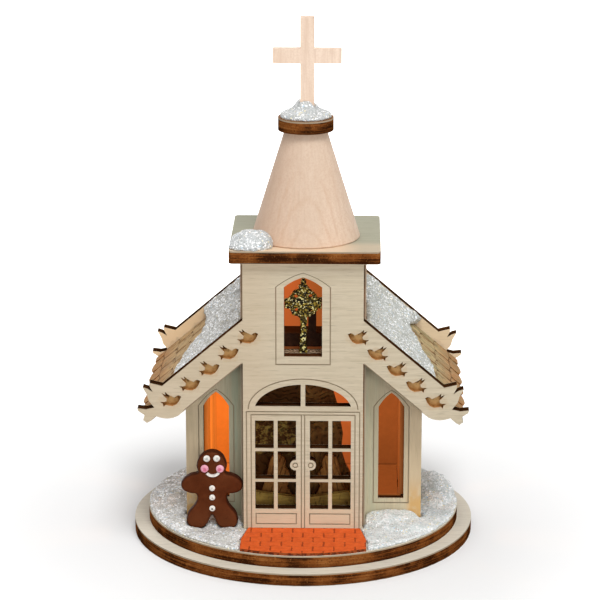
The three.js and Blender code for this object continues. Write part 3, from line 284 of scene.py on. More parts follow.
def ply(name, sheet, grain, pale=PALE, deep=PALE_DEEP, edges=BROWN_EDGES, tint=None, pocket=None, lit=0):
    """Plywood cut by laser: pale faces with fine grain, fine burnt lines, and charred layered edges.
    sheet is made by below or behind; grain is the stretch of the noise that makes the wood's grain.
    tint(look, face) may change the face's colour, and pocket(look, burn) the colour below the face.
    Where lit is given, the sheet's back and the inner part of its edges are painted dark brown as
    shade and glow with painted lamplight, as far from the middle as lit says."""
    look = Look(name, 0.62)
    axis, level, way = sheet
    under = look.times(look.minus(level, (look.x, look.y, look.z)[axis]), way)
    broad = look.noise(0.09, grain, detail=2.0)
    fine = look.noise(1.3, grain, detail=4.0, rough=0.7)
    streak = look.ramp(fine, 0.34, 0.72)
    face = look.mix(look.times(streak, 0.7), pale, deep)
    face = look.mix(look.ramp(broad, 0.35, 0.75, 0.0, 0.28), face, deep)
    flecks = look.noise(3.6, grain, detail=2.0)
    face = look.mix(look.ramp(flecks, 0.56, 0.74, 0.0, 0.5), face, tuple(0.62 * c for c in deep))
    if tint:
        face = tint(look, face)
    # Edges: thin veneers, unevenly burnt along the cut and darkest next to both faces
    veneers = look.noise(0.7, [3.2 if i == axis else 0.09 for i in range(3)], detail=4.0, rough=0.7)
    burns = look.noise(0.14, detail=3.0)
    tone = look.plus(veneers, look.ramp(burns, 0.3, 0.7, -0.12, 0.12))
    edge = look.mix(look.ramp(tone, 0.36, 0.56), edges[1], edges[0])
    edge = look.mix(look.ramp(tone, 0.58, 0.72, 0.0, 0.75), edge, edges[2])
    speck = look.noise(2.4, detail=3.0, rough=0.7)
    edge = look.mix(look.ramp(speck, 0.54, 0.66, 0.0, 0.7), edge, edges[1])
    edge = look.mix(look.ramp(speck, 0.42, 0.32, 0.0, 0.6), edge, edges[2])
    layer = look.swing(under, PLY / 2)
    edge = look.mix(look.ramp(layer, 0.05, 0.4, 0.65, 0.0), edge, edges[1])
    edge = look.mix(look.ramp(under, 1.6, PLY, 0.0, 0.45), edge, edges[1])
    burn = look.mix(look.ramp(under, UNDER_LINES - 0.05, UNDER_LINES + 0.05), ENGRAVED, edge)
    if pocket:
        burn = pocket(look, burn)
    inside = look.times(look.ramp(under, SKIN, 0.1), look.ramp(under, PLY - 0.1, PLY - SKIN, 1.0, 0.0))
    colour = look.mix(inside, face, burn)
    # Painted shade and painted lamplight on the sheet's back and inner edges
    if lit:
        share = look.times(look.ramp(under, 1.4, PLY), look.less(look.z, INSIDE_TOP))
        share = look.times(share, look.less(look.size(look.side), lit))
        colour = look.mix(share, colour, INSIDE_SHADE_BROWN)
        look.put("Emission Color", look.mix(share, (0, 0, 0), lamplight(look)))
        look.put("Emission Strength", 0.8)
    look.put("Base Color", colour)
    look.put("Specular IOR Level", look.ramp(inside, 0.0, 1.0, 0.12, 0.0))
    look.put("Roughness", look.ramp(fine, 0.2, 0.8, 0.55, 0.72))
    relief = look.plus(look.times(fine, 0.7), look.times(flecks, 0.5))
    look.put("Normal", look.bump(relief, 0.06, 0.6))
    return look


def below(axis, top):
    """A sheet whose face looks along the positive axis and lies at top."""
    return axis, top, 1


def behind(axis, front):
    """A sheet whose face looks along the negative axis and lies at front."""
    return axis, front, -1


ALONG_X = (0.06, 1, 1)
ALONG_Y = (1, 0.06, 1)
ALONG_Z = (1, 1, 0.06)

# Colours of the doves' floors, walls and surroundings
DOVE_MIDDLE = (0.64, 0.385, 0.155)
DOVE_RIM = (0.34, 0.155, 0.045)
DOVE_TOP_BURN_AND_SHADE = (0.07, 0.025, 0.008)
DOVE_LIT_WALL = (0.50, 0.24, 0.085)
DOVE_SCORCH = (0.56, 0.39, 0.22)
TOWER_EDGE = (0.50, 0.17, 0.08)


def dove_place(look):
    """Offsets from the middle of the nearest dove: outwards along the wing, and up."""
    out = look.size(look.side)
    start = DOVE_FIRST_X - DOVE_STEP_X / 2
    step = look.math("FLOOR", look.math("DIVIDE", look.minus(out, start), DOVE_STEP_X))
    step = look.least(look.most(step, 0.0), LAST_DOVE)
    middle = look.plus(look.times(step, DOVE_STEP_X), DOVE_FIRST_X)
    centre = look.minus(RIDGE_Z - DOVE_DROP, look.times(middle, math.tan(ROOF_ANGLE)))
    return look.minus(out, middle), look.minus(look.z, centre)


def dove_pocket(look, burn):
    """An engraved dove: light brown floor, darker towards its rim, darker towards the wing tips at its
    top with burn and painted shade, and lower walls that face up painted warm and light as if lit.
    The tower's upright edges above the wings are warm too."""
    u, v = dove_place(look)
    nx, ny, nz = look.facing()
    uneven = look.ramp(look.noise(1.2), 0.3, 0.7, -0.6, 0.6)
    reach = look.plus(look.away(look.times(u, 0.36), look.times(v, 0.6)), look.times(uneven, 0.25))
    floor = look.mix(look.ramp(reach, 0.15, 0.95), DOVE_MIDDLE, DOVE_RIM)
    # Burn and painted shade darken the dove towards its top
    floor = look.mix(look.ramp(look.plus(v, uneven), 0.2, 1.35), floor, DOVE_TOP_BURN_AND_SHADE)
    front = look.size(look.minus(look.y, FRONT_Y + DOVE_DEPTH))
    rear = look.size(look.minus(look.y, REAR_BACK - DOVE_DEPTH))
    near = look.less(look.least(front, rear), 0.06)
    on_floor = look.times(near, look.more(look.size(ny), 0.7))
    under = look.least(look.minus(look.y, FRONT_Y), look.minus(REAR_BACK, look.y))
    wall = look.times(look.less(under, DOVE_DEPTH + 0.1), look.less(look.away(u, v), DOVE_REACH))
    # Painted light on the walls that face up
    wall = look.times(wall, look.ramp(nz, -0.1, 0.5))
    burn = look.mix(wall, burn, DOVE_LIT_WALL)
    tower_edge = look.times(look.more(look.size(nx), 0.8), look.ramp(look.z, WING_TOP - 0.4, WING_TOP + 0.2))
    burn = look.mix(tower_edge, burn, TOWER_EDGE)
    return look.mix(on_floor, burn, floor)


def wing_scorch(look, face):
    """A faint scorch round each engraved dove."""
    u, v = dove_place(look)
    reach = look.plus(look.away(look.times(u, 0.33), look.times(look.plus(v, 0.3), 0.55)),
                      look.ramp(look.noise(0.9), 0.3, 0.7, -0.2, 0.2))
    return look.mix(look.ramp(reach, 0.85, 1.2, 0.3, 0.0), face, DOVE_SCORCH)


# Colours that the sheets' faces take in places
DOOR_FOOT = (0.74, 0.62, 0.42)
LEFT_SHADE_WARM = (0.60, 0.45, 0.30)
SCORCH_AND_SHADOW = (0.11, 0.055, 0.025)
REAR_PAINTED_LIGHT = (1.0, 0.74, 0.46)
NAVE_STREAK = (0.40, 0.35, 0.22)
NAVE_GREEN_SHADE = (0.385, 0.44, 0.325)
NAVE_PEAK_SHADOW = (0.10, 0.055, 0.03)
NAVE_WARM = (0.78, 0.58, 0.36)
NAVE_STAIN = (0.66, 0.38, 0.12)
CAP_FRONT_LIGHT = (0.82, 0.62, 0.44)
CAP_LEFT_SHADE = (0.33, 0.335, 0.265)
FLOOR_LIT = (0.40, 0.13, 0.035)
FLOOR_DARK = (0.035, 0.02, 0.008)
SPILT = (0.44, 0.35, 0.24)


def front_tint(look, face):
    """The doors' feet are pinker than the tower, whose left half is a little warmer and darker with
    painted shade, and a dark line, part scorch and part painted shadow, runs along the wings' lower edges."""
    out = look.size(look.side)
    low = look.times(look.ramp(look.z, 24, 10), look.ramp(out, 13.4, 12.0))
    face = look.mix(look.times(low, 0.5), face, DOOR_FOOT)
    # Painted shade on the left half
    face = look.mix(look.ramp(look.side, -3, -13, 0.0, 0.3), face, LEFT_SHADE_WARM)
    # A dark line along the wings' lower edges: part scorch, part painted shadow
    above = look.plus(look.minus(look.z, RIDGE_Z - WING_DEPTH), look.times(out, math.tan(ROOF_ANGLE)))
    line = look.times(look.ramp(look.size(above), 0.42, 0.2), look.ramp(out, TOWER_HALF, TOWER_HALF + 0.5))
    line = look.times(line, look.ramp(out, 30.0, 29.0))
    face = look.mix(look.times(line, 0.7), face, SCORCH_AND_SHADOW)
    return wing_scorch(look, face)


def rear_tint(look, face):
    """The side towards the roof has painted light, bright and warm, most of all on the left."""
    front = look.less(look.y, REAR_BACK - PLY / 2)
    front = look.times(front, look.ramp(look.side, -5, 5, 0.85, 0.4))
    return wing_scorch(look, look.mix(front, face, REAR_PAINTED_LIGHT))


def nave_tint(look, face):
    """Nave walls are green-grey near the tower, darkened there by painted shade, and darkest high up
    there in painted shadow under the wing; warmer towards their outer edge, and stained brown low down along
    it."""
    out = look.size(look.side)
    streaks = look.ramp(look.noise(1.1, ALONG_Z, detail=3.0), 0.38, 0.6, 0.1, 1.0)
    face = look.mix(look.times(streaks, look.ramp(look.side, -10, 10, 0.4, 0.15)), face, NAVE_STREAK)
    # Green-grey near the tower, also painted shade
    near = look.times(look.ramp(out, 23, 16), look.ramp(look.side, -10, 10, 0.9, 0.5))
    face = look.mix(look.times(near, look.ramp(streaks, 0.0, 1.0, 1.0, 0.55)), face, NAVE_GREEN_SHADE)
    # Painted shadow high up by the tower
    peak_shadow = look.times(look.ramp(look.z, 43, 49), look.ramp(out, 21, 16.5))
    face = look.mix(look.times(peak_shadow, 0.75), face, NAVE_PEAK_SHADOW)
    warm = look.times(look.ramp(out, 24.6, 27.4), look.ramp(look.z, 45, 8, 0.25, 0.55))
    face = look.mix(warm, face, NAVE_WARM)
    stain = look.times(look.ramp(look.z, 19, 10), look.ramp(out, 25.6, 27.4))
    stain = look.times(stain, look.ramp(look.noise(0.35), 0.3, 0.55, 0.1, 0.8))
    return look.mix(stain, face, NAVE_STAIN)


def cap_tint(look, face):
    """The cap's top is grey-green round the steeple, greyer on the left with painted shade, and paler
    and warmer along its front edge with painted light.
    """
    # Painted light along the front edge
    warm = look.times(look.ramp(look.y, -13, -19, 0.0, 0.95), look.ramp(look.side, 15, 8, 0.45, 1.0))
    face = look.mix(warm, face, CAP_FRONT_LIGHT)
    # Painted shade on the left
    return look.mix(look.ramp(look.side, -8, -18, 0.0, 0.35), face, CAP_LEFT_SHADE)


def belfry_tint(look, face):
    """The platform is painted dark as shade, with a painted lit strip and then spilt glitter towards the
    window.
    """
    strip = look.times(look.ramp(look.y, -11.4, -12.0), look.ramp(look.y, -15.6, -15.0))
    face = look.mix(strip, face, FLOOR_LIT)
    spilt = look.mix(look.ramp(look.noise(1.5, detail=3.0), 0.44, 0.56), FLOOR_DARK, SPILT)
    return look.mix(look.ramp(look.y, -15.4, -16.0), face, spilt)


dress(ply("front_ply", behind(1, FRONT_Y), ALONG_X, edges=DARK_EDGES, tint=front_tint, pocket=dove_pocket),
      "front_panel")
dress(ply("rear_ply", below(1, REAR_BACK), ALONG_X, edges=DARK_EDGES, tint=rear_tint, pocket=dove_pocket,
          lit=ROOM), "rear_panel")
dress(ply("nave_front_ply", behind(1, NAVE_FRONT_Y), ALONG_Z, (0.66, 0.565, 0.40), (0.53, 0.45, 0.30),
          edges=DARK_EDGES, tint=nave_tint, lit=ROOM), "nave_front_left", "nave_front_right")
for side, sheet in (("left", behind), ("right", below)):
    way = sheet(0, 0)[2]
    face = sheet(0, BUILDING_X + way * SIDE_WALL_OUT)
    dress(ply(side + "_wall_ply", face, ALONG_Y, lit=SIDE_WALL_OUT), "nave_side_" + side)
    face = sheet(0, BUILDING_X + way * TOWER_OUT)
    dress(ply("tower_" + side + "_ply", face, ALONG_Z, SIDE_PALE, SIDE_DEEP), "tower_side_" + side)
dress(ply("tower_back_ply", below(1, TOWER_BACK_Y), ALONG_X), "tower_back")
# The belfry platform's colours are near black: painted shade
dress(ply("tower_floor_shaded_ply", below(2, BELFRY_SILL), ALONG_X, (0.03, 0.012, 0.005), (0.012, 0.005, 0.003),
          tint=belfry_tint), "tower_floor")
dress(ply("lower_disc_ply", below(2, PLY), ALONG_X, GREY_PALE, GREY_DEEP), "lower_base_disc")
dress(ply("upper_disc_ply", below(2, FLOOR), ALONG_X, GREY_PALE, GREY_DEEP), "upper_base_disc")
dress(ply("cap_ply", below(2, CAP_TOP), ALONG_X, (0.43, 0.415, 0.31), (0.36, 0.355, 0.27), tint=cap_tint),
      "tower_cap")
dress(ply("steeple_disc_ply", below(2, TOP_DISC_TOP), ALONG_X, (0.30, 0.14, 0.05), (0.12, 0.045, 0.016)),
      "steeple_disc")


# The warm and the grey-brown tone of the right roof and of the left one
ROOF_TONES = {1: ((0.62, 0.46, 0.24), (0.33, 0.29, 0.16)), -1: ((0.64, 0.43, 0.22), (0.42, 0.30, 0.17))}
KNOT = (0.15, 0.085, 0.032)
TOAST = (0.42, 0.175, 0.055)
HALO = (0.36, 0.175, 0.06)
SLIT = (0.075, 0.034, 0.012)
COURSE = (0.12, 0.055, 0.02)
SPOT = (0.09, 0.038, 0.012)
ROOF_EDGES = ((0.09, 0.034, 0.012), (0.37, 0.15, 0.042))


def roof_look(side):
    """Bare roof wood engraved with rows of shingles: each has a burnt spot at its head and a slit
    down to the next row, half a shingle out of line from row to row."""
    look = Look("roof_wood_" + ("right" if side > 0 else "left"), 0.68, Specular_IOR_Level=0.05)
    off = look.vector("ADD", look.mm, (-BUILDING_X, 0, -ROOF_TOP_Z))
    sine, cosine = math.sin(ROOF_ANGLE), math.cos(ROOF_ANGLE)
    under = look.times(look.vector("DOT_PRODUCT", off, (side * sine, 0, cosine)), -1.0)
    down = look.vector("DOT_PRODUCT", off, (side * cosine, 0, -sine))
    rows = look.math("DIVIDE", look.minus(ROWS_FROM_S, down), SHINGLE_ROW)
    row = look.math("FLOOR", rows)
    up = look.minus(rows, row)
    odd = look.times(look.math("MODULO", row, 2.0), -NOTCH_PITCH / 2)
    wobble = look.ramp(look.noise(0.5, detail=2.0), 0.3, 0.7, -0.3, 0.3)
    along = look.plus(look.plus(look.minus(look.y, NOTCH_Y), odd), wobble)
    aside = look.swing(along, NOTCH_PITCH / 2)
    grain = look.noise(0.9, (0.12, 1, 0.12), detail=4.0, rough=0.65)
    mottle = look.noise(0.28, (0.6, 1, 0.6), detail=4.0, rough=0.6)
    warm, grey = ROOF_TONES[side]
    face = look.mix(look.ramp(grain, 0.35, 0.7), warm, tuple(0.66 * c for c in warm))
    face = look.mix(look.ramp(mottle, 0.42, 0.62, 0.0, 0.8), face, grey)
    knots = look.noise(0.8, (0.5, 1, 0.5), detail=5.0, rough=0.7)
    face = look.mix(look.ramp(knots, 0.5, 0.64, 0.0, 0.75), face, KNOT)
    toast = look.times(look.ramp(down, 43, 51), look.ramp(knots, 0.6, 0.4, 0.25, 0.9))
    face = look.mix(toast, face, TOAST)
    halo = look.times(look.ramp(aside, 1.5, 0.2), look.ramp(up, 1.0, 0.3, 0.25, 0.65))
    face = look.mix(halo, face, HALO)
    slit = look.times(look.ramp(aside, 0.34, 0.14), look.ramp(up, 0.1, 0.95, 1.0, 0.4))
    face = look.mix(slit, face, SLIT)
    wavy = look.minus(rows, look.ramp(aside, 0, NOTCH_PITCH / 2, 0.1, 0.0))
    course = look.ramp(look.swing(wavy, 0.5), 0.05, 0.0)
    face = look.mix(look.times(course, look.ramp(down, 40, 50, 0.35, 0.95)), face, COURSE)
    rise = look.times(look.minus(up, 0.97), SHINGLE_ROW)
    head = look.away(aside, rise)
    spot = look.ramp(head, 0.8, 0.4)
    face = look.mix(spot, face, SPOT)
    edge = look.mix(look.ramp(look.noise(0.8), 0.35, 0.65), *ROOF_EDGES)
    look.put("Base Color", look.mix(look.ramp(under, SKIN, 0.12), face, edge))
    carved = look.minus(look.times(grain, 0.4), look.most(slit, spot))
    look.put("Normal", look.bump(carved, 0.22, 0.9))
    return look


dress(roof_look(1), "roof_right")
dress(roof_look(-1), "roof_left")


# The arched figure on the cone: its middle, its lowest line, the step between lines, and its colour
ARCH_X = 1.0
ARCH_Z = 91.0
ARCH_STEP = 3.6
ARCH_TONE = (0.60, 0.37, 0.235)
# Painted shade that darkens the cone's middle
CONE_MIDDLE_SHADE = (0.58, 0.45, 0.34)


def maple(name, pale, deep, shade, stretch, arches=False):
    """Sanded maple: fine pores along the grain, soft streaks and a mottle, and painted shade that makes it
    darker and pinker towards the left. Where arches is true, a faint arched figure rises from the cone's
    foot, and painted shade darkens the cone's middle."""
    look = Look(name, 0.48)
    pores = look.noise(1.0, stretch, detail=4.0, rough=0.65)
    broad = look.noise(0.13, stretch, detail=2.0)
    tone = look.mix(look.ramp(pores, 0.38, 0.66, 0.0, 0.6), pale, deep)
    tone = look.mix(look.ramp(broad, 0.35, 0.7, 0.0, 0.35), tone, deep)
    tone = look.mix(look.ramp(look.noise(2.0, detail=4.0, rough=0.75), 0.42, 0.66, 0.0, 0.5), tone, shade)
    if arches:
        across = look.minus(look.x, ARCH_X)
        arch = look.plus(look.z, look.times(look.times(across, across), 0.26))
        arch = look.plus(arch, look.ramp(look.noise(0.2), 0.2, 0.8, -1.2, 1.2))
        figure = look.ramp(look.swing(look.minus(arch, ARCH_Z), ARCH_STEP), 1.5, 0.1, 0.0, 0.3)
        where = look.times(look.ramp(look.z, 99, 92), look.ramp(look.size(across), 11, 6))
        tone = look.mix(look.times(figure, where), tone, ARCH_TONE)
        middle = look.ramp(look.size(look.minus(look.side, 1.0)), 1.5, 6.0, 0.3, 0.0)
        tone = look.mix(middle, tone, CONE_MIDDLE_SHADE)
    # Painted shade: darker and pinker towards the left
    tone = look.mix(look.ramp(look.side, 4, -10, 0.0, 0.45), tone, shade)
    look.put("Base Color", tone)
    look.put("Roughness", look.ramp(pores, 0.2, 0.8, 0.42, 0.58))
    look.put("Normal", look.bump(pores, 0.05, 0.5))
    return look


dress(maple("cone_maple", (0.78, 0.61, 0.475), (0.69, 0.51, 0.375), (0.63, 0.41, 0.28), (1, 1, 0.07), True),
      "steeple_cone", "steeple_dowel")
dress(maple("cross_maple", (0.99, 0.80, 0.65), (0.76, 0.55, 0.41), (0.80, 0.59, 0.44), (1, 1, 0.09)),
      "steeple_cross")


# Snow: paste with coarse glitter, lumpy and ragged at its rim
BARE_WOOD = (0.42, 0.33, 0.21)
BLUE_FLAKE = (0.66, 0.80, 0.92)
YELLOW_FLAKE = (0.98, 0.90, 0.64)


def snow_look(name, low, high, bare=0.0, flake=2.7, share=0.15):
    """Snow between two tones, with bare telling how much wood shows through, flake how many flakes
    there are to the millimetre and share how many of them shine."""
    look = Look(name, 0.6)
    drift = look.noise(0.32, detail=4.0, rough=0.6)
    paste = look.mix(look.ramp(drift, 0.3, 0.7), low, high)
    if bare:
        thin = look.noise(0.22, detail=5.0, rough=0.65)
        paste = look.mix(look.ramp(thin, 0.52, 0.66, 0.0, bare), paste, BARE_WOOD)
    grit = look.noise(3.0, detail=2.0, rough=0.6)
    paste = look.mix(look.ramp(grit, 0.38, 0.5, 0.35, 0.0), paste, tuple(0.5 * c for c in low))
    lit, tint, turn = look.split(look.cells(flake))
    paste = look.mix(look.ramp(tint, 0.975, 0.98), paste, BLUE_FLAKE)
    paste = look.mix(look.ramp(turn, 0.975, 0.98), paste, YELLOW_FLAKE)
    fine = look.split(look.cells(3.6))[1]
    flakes = look.most(look.ramp(lit, 0.99 - share, 1.01 - share), look.ramp(fine, 0.93, 0.95))
    paste = look.mix(flakes, paste, (1.0, 1.0, 1.0))
    look.put("Base Color", paste)
    look.put("Metallic", look.times(flakes, 0.5))
    look.put("Roughness", look.ramp(turn, 0.3, 0.8, 0.65, 0.25))
    rough = look.plus(look.cells(2.3, "Distance"), look.noise(2.4, detail=4.0, rough=0.7))
    look.put("Normal", look.bump(rough, 0.3, 0.9))
    return look


FINER = 1.9  # how much finer the grit is than the coarse noise
ELSEWHERE = Vector((7, 3, 5))  # where in the noise the grit is read
BY_TOWER = 1.0  # snow this close to the tower's sides lies by them


def lumpy(name, node, voxel, rise, coarse, look, grow=0.0, grit=0.4, close=0.0):
    """A copy of a node with an even fine mesh, its skin pushed in and out by noise.
    Where close is given, what lies by the tower's sides moves that far towards them."""
    piece = bpy.data.objects.new(name, nodes[node].data.copy())
    bpy.context.scene.collection.objects.link(piece)
    even = piece.modifiers.new("even", "REMESH")
    even.mode = "VOXEL"
    even.voxel_size = voxel * MM
    mesh = bpy.data.meshes.new_from_object(piece.evaluated_get(bpy.context.evaluated_depsgraph_get()))
    piece.modifiers.clear()
    piece.data = mesh
    moves = []
    for vertex in mesh.vertices:
        place = vertex.co / MM
        swell = noise.noise(place / coarse) + grit * noise.noise(place * FINER / coarse + ELSEWHERE)
        moves.append(vertex.normal * ((grow + rise * swell) * MM))
    for vertex, move in zip(mesh.vertices, moves):
        vertex.co += move
        out = vertex.co.x / MM - BUILDING_X
        if abs(out) < TOWER_OUT + BY_TOWER:
            vertex.co.x -= math.copysign(close * MM, out)
    for face in mesh.polygons:
        face.use_smooth = True
    mesh.materials.clear()
    mesh.materials.append(look.mat)
    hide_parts(node)
    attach(piece, "root")


LEFT_ROOF_SNOW = snow_look("left_roof_snow", (0.49, 0.47, 0.43), (0.66, 0.65, 0.62), 0.45)
RIGHT_ROOF_SNOW = snow_look("right_roof_snow", (0.50, 0.51, 0.46), (0.65, 0.67, 0.63), 0.15)
HEAP_SNOW = snow_look("heap_snow", (0.57, 0.59, 0.58), (0.74, 0.76, 0.76))
LEFT_SNOW = snow_look("left_base_snow", (0.66, 0.65, 0.60), (0.90, 0.89, 0.87), 0.15, 2.1, 0.22)
RIGHT_SNOW = snow_look("right_base_snow", (0.72, 0.77, 0.75), (0.93, 0.96, 0.95), 0.0, 2.1, 0.22)
for part, surface, rise in (
    ("snow_roof_left", LEFT_ROOF_SNOW, 0.3),
    ("snow_roof_right", RIGHT_ROOF_SNOW, 0.3),
    ("snow_ridge", LEFT_ROOF_SNOW, 0.2),
    ("snow_cap", HEAP_SNOW, 0.5),
    ("snow_cross_foot", HEAP_SNOW, 0.3),
    ("snow_base_left", LEFT_SNOW, 0.3),
    ("snow_base_right", RIGHT_SNOW, 0.3),
    ("snow_base_rear", LEFT_SNOW, 0.3),
):
    close = 0.45 if "roof" in part else 0.0
    lumpy("lumpy_" + part, part, 0.42, rise, 2.6, surface, grow=0.1, grit=0.6, close=close)


# The engraved bricks and their colours
BRICK_LENGTH = 5.2
BRICK_ROW = 3.1
BRICK_TOP = FLOOR + 0.8
BRICK_RED = (0.82, 0.14, 0.027)
BRICK_DEEP = (0.68, 0.10, 0.02)
BRICK_WORN = (0.80, 0.30, 0.14)
BRICK_JOINT = (0.24, 0.032, 0.008)
BRICK_EDGES = ((0.10, 0.022, 0.008), (0.34, 0.075, 0.02))
BRICK_JOINT_X = -12.5
BRICK_BACK_Y = -22.75  # the back edge of the first row


def brick_look():
    """Orange-red stain engraved with bricks; its rim shows the dark cut edge under a worn line."""
    look = Look("brick_path", 0.6, Specular_IOR_Level=0.05)
    rows = look.math("DIVIDE", look.minus(BRICK_BACK_Y, look.y), BRICK_ROW)
    row = look.math("FLOOR", rows)
    odd = look.math("MODULO", look.size(row), 2.0)
    along = look.minus(look.x, look.plus(look.times(odd, BRICK_LENGTH / 2), BRICK_JOINT_X))
    joint = look.swing(along, BRICK_LENGTH / 2)
    joint = look.ramp(look.plus(joint, look.ramp(look.noise(1.1), 0.3, 0.7, -0.1, 0.12)), 0.26, 0.1)
    course = look.ramp(look.swing(rows, 0.5), 0.045, 0.01)
    course = look.times(course, look.ramp(look.noise(0.6, detail=2.0), 0.35, 0.6, 0.15, 0.7))
    mottle = look.noise(0.7, detail=4.0, rough=0.65)
    stain = look.mix(look.ramp(mottle, 0.3, 0.7), BRICK_RED, BRICK_DEEP)
    stain = look.mix(look.ramp(look.noise(2.8, detail=2.0), 0.62, 0.75, 0.0, 0.5), stain, BRICK_WORN)
    engraved = look.most(look.times(joint, 0.75), look.times(course, 0.7))
    stain = look.mix(engraved, stain, BRICK_JOINT)
    under = look.minus(BRICK_TOP, look.z)
    cut = look.mix(look.ramp(look.noise(0.9), 0.4, 0.6), *BRICK_EDGES)
    look.put("Base Color", look.mix(look.ramp(under, 0.02, 0.12), stain, cut))
    look.put("Normal", look.bump(look.minus(look.times(mottle, 0.3), engraved), 0.16, 0.8))
    return look


dress(brick_look(), "brick_path")


# Gingerbread figure: soft clay with icing dots
CLAY_DEEP = (0.084, 0.019, 0.005)
CLAY_WARM = (0.118, 0.030, 0.009)
CLAY_FEET = (0.125, 0.037, 0.013)
CLAY_PORE = (0.05, 0.012, 0.005)
CLAY_RIM_SHADE = (0.03, 0.008, 0.004)


def clay_look():
    """Brown clay, lighter at the feet, with painted shade darkening its rim where the faces turn sideways."""
    look = Look("brown_clay", 0.5, Specular_IOR_Level=0.04)
    soft = look.noise(0.22)
    fine = look.noise(1.6, detail=4.0)
    clay = look.mix(look.ramp(soft, 0.35, 0.68), CLAY_DEEP, CLAY_WARM)
    clay = look.mix(look.ramp(look.z, 14, 8, 0.0, 0.5), clay, CLAY_FEET)
    clay = look.mix(look.ramp(fine, 0.58, 0.75, 0.0, 0.5), clay, CLAY_PORE)
    # Painted shade on the rim
    rim_shade = look.ramp(look.size(look.facing()[1]), 0.8, 0.35, 0.0, 0.75)
    look.put("Base Color", look.mix(rim_shade, clay, CLAY_RIM_SHADE))
    look.put("Roughness", look.ramp(fine, 0.3, 0.7, 0.42, 0.58))
    look.put("Normal", look.bump(look.plus(look.times(fine, 0.35), soft), 0.3, 0.6))
    return look


lumpy("clay_figure", "gingerbread_body", 0.28, 0.07, 3.0, clay_look(), grow=-0.02, grit=0.2)


def icing(node, rim, middle, share, off=(0.0, 0.0)):
    """A dot of icing, with another colour in its middle out to a share of its radius."""
    low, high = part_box(node)
    centre = [(low[i] + high[i]) / 2 / MM for i in range(3)]
    radius = (high[0] - low[0]) / 2 / MM
    look = Look(node + "_icing", 0.3, Specular_IOR_Level=0.4)
    dx = look.minus(look.x, centre[0] + off[0] * radius)
    dz = look.minus(look.z, centre[2] + off[1] * radius)
    reach = look.plus(look.away(dx, dz), look.ramp(look.noise(1.8, detail=2.0), 0.3, 0.7, -0.12, 0.12))
    tone = look.mix(look.ramp(look.noise(2.2), 0.35, 0.7), rim, tuple(0.86 * c for c in rim))
    spot = look.ramp(reach, share * radius + 0.14, share * radius - 0.1)
    look.put("Base Color", look.mix(spot, tone, middle))
    look.put("Normal", look.bump(look.minus(look.noise(1.6), look.times(spot, 0.6)), 0.12, 0.7))
    dress(look, node)


WHITE = (0.90, 0.87, 0.80)
icing("gingerbread_eye_left", WHITE, (0.50, 0.50, 0.47), 0.4, (0.1, -0.1))
icing("gingerbread_eye_right", WHITE, (0.58, 0.57, 0.54), 0.4)
icing("gingerbread_cheek_left", (0.83, 0.36, 0.46), (0.66, 0.16, 0.27), 0.45, (0.1, -0.15))
icing("gingerbread_cheek_right", (0.86, 0.42, 0.52), (0.68, 0.17, 0.28), 0.45, (-0.1, -0.15))
icing("gingerbread_button_1", WHITE, (0.62, 0.56, 0.47), 0.3)
icing("gingerbread_button_2", WHITE, (0.17, 0.07, 0.04), 0.2)
icing("gingerbread_button_3", WHITE, (0.05, 0.018, 0.01), 0.3)
icing("gingerbread_smile", WHITE, (0.78, 0.75, 0.68), 0.3)


DARK_GROUND = (0.010, 0.007, 0.002)
OLIVE_FLAKE = (0.075, 0.052, 0.008)
GOLD_FLAKE = (0.36, 0.25, 0.035)
BRIGHT_FLAKE = (1.0, 0.90, 0.36)
SMALL_FLAKE = (1.0, 0.92, 0.5)


def gold_look():
    """Coarse glitter: dark ground, olive and gold flakes, and a few that catch the light."""
    look = Look("gold_glitter", 0.35, Specular_IOR_Level=0.1)
    lit, tint, turn = look.split(look.cells(2.7))
    flake = look.mix(look.ramp(lit, 0.5, 0.55), DARK_GROUND, OLIVE_FLAKE)
    flake = look.mix(look.ramp(tint, 0.78, 0.81), flake, GOLD_FLAKE)
    flake = look.mix(look.ramp(turn, 0.89, 0.91), flake, BRIGHT_FLAKE)
    small = look.split(look.cells(4.4))[0]
    flake = look.mix(look.ramp(small, 0.95, 0.96), flake, SMALL_FLAKE)
    look.put("Base Color", flake)
    look.put("Metallic", look.ramp(tint, 0.78, 0.82, 0.0, 0.2))
    look.put("Normal", look.bump(look.plus(turn, small), 0.3, 0.9))
    return look


lumpy("glitter_cross", "belfry_gold_cross", 0.2, 0.34, 0.8, gold_look(), grow=0.06)


def stained(name, dark, light, scale, stretch=(1, 1, 1), carve=None, leaves=None):
    """Stained wood in the scene: brown washes, carve(look) gives engraved lines from 0 to 1, and
    leaves is the colour of the foliage that shows at the upper left."""
    look = Look(name, 0.6, Specular_IOR_Level=0.05)
    wash = look.noise(scale, stretch, detail=4.0, rough=0.6)
    tone = look.mix(look.ramp(wash, 0.35, 0.68), dark, light)
    if leaves:
        left = look.ramp(look.side, 0.5, -1.5)
        tone = look.mix(look.times(left, 0.8), tone, tuple(0.6 * c for c in dark))
        crown = look.times(look.ramp(look.z, 20.5, 22.5), look.ramp(look.z, 32, 29.5))
        patch = look.ramp(look.noise(0.6, (0.8, 1, 1.2), detail=5.0, rough=0.7), 0.46, 0.6)
        tone = look.mix(look.times(look.times(crown, left), patch), tone, leaves)
    if carve:
        lines = carve(look)
        tone = look.mix(look.times(lines, 0.75), tone, tuple(0.22 * c for c in dark))
        look.put("Normal", look.bump(look.minus(1.0, lines), 0.2, 0.8))
    look.put("Base Color", tone)
    return look


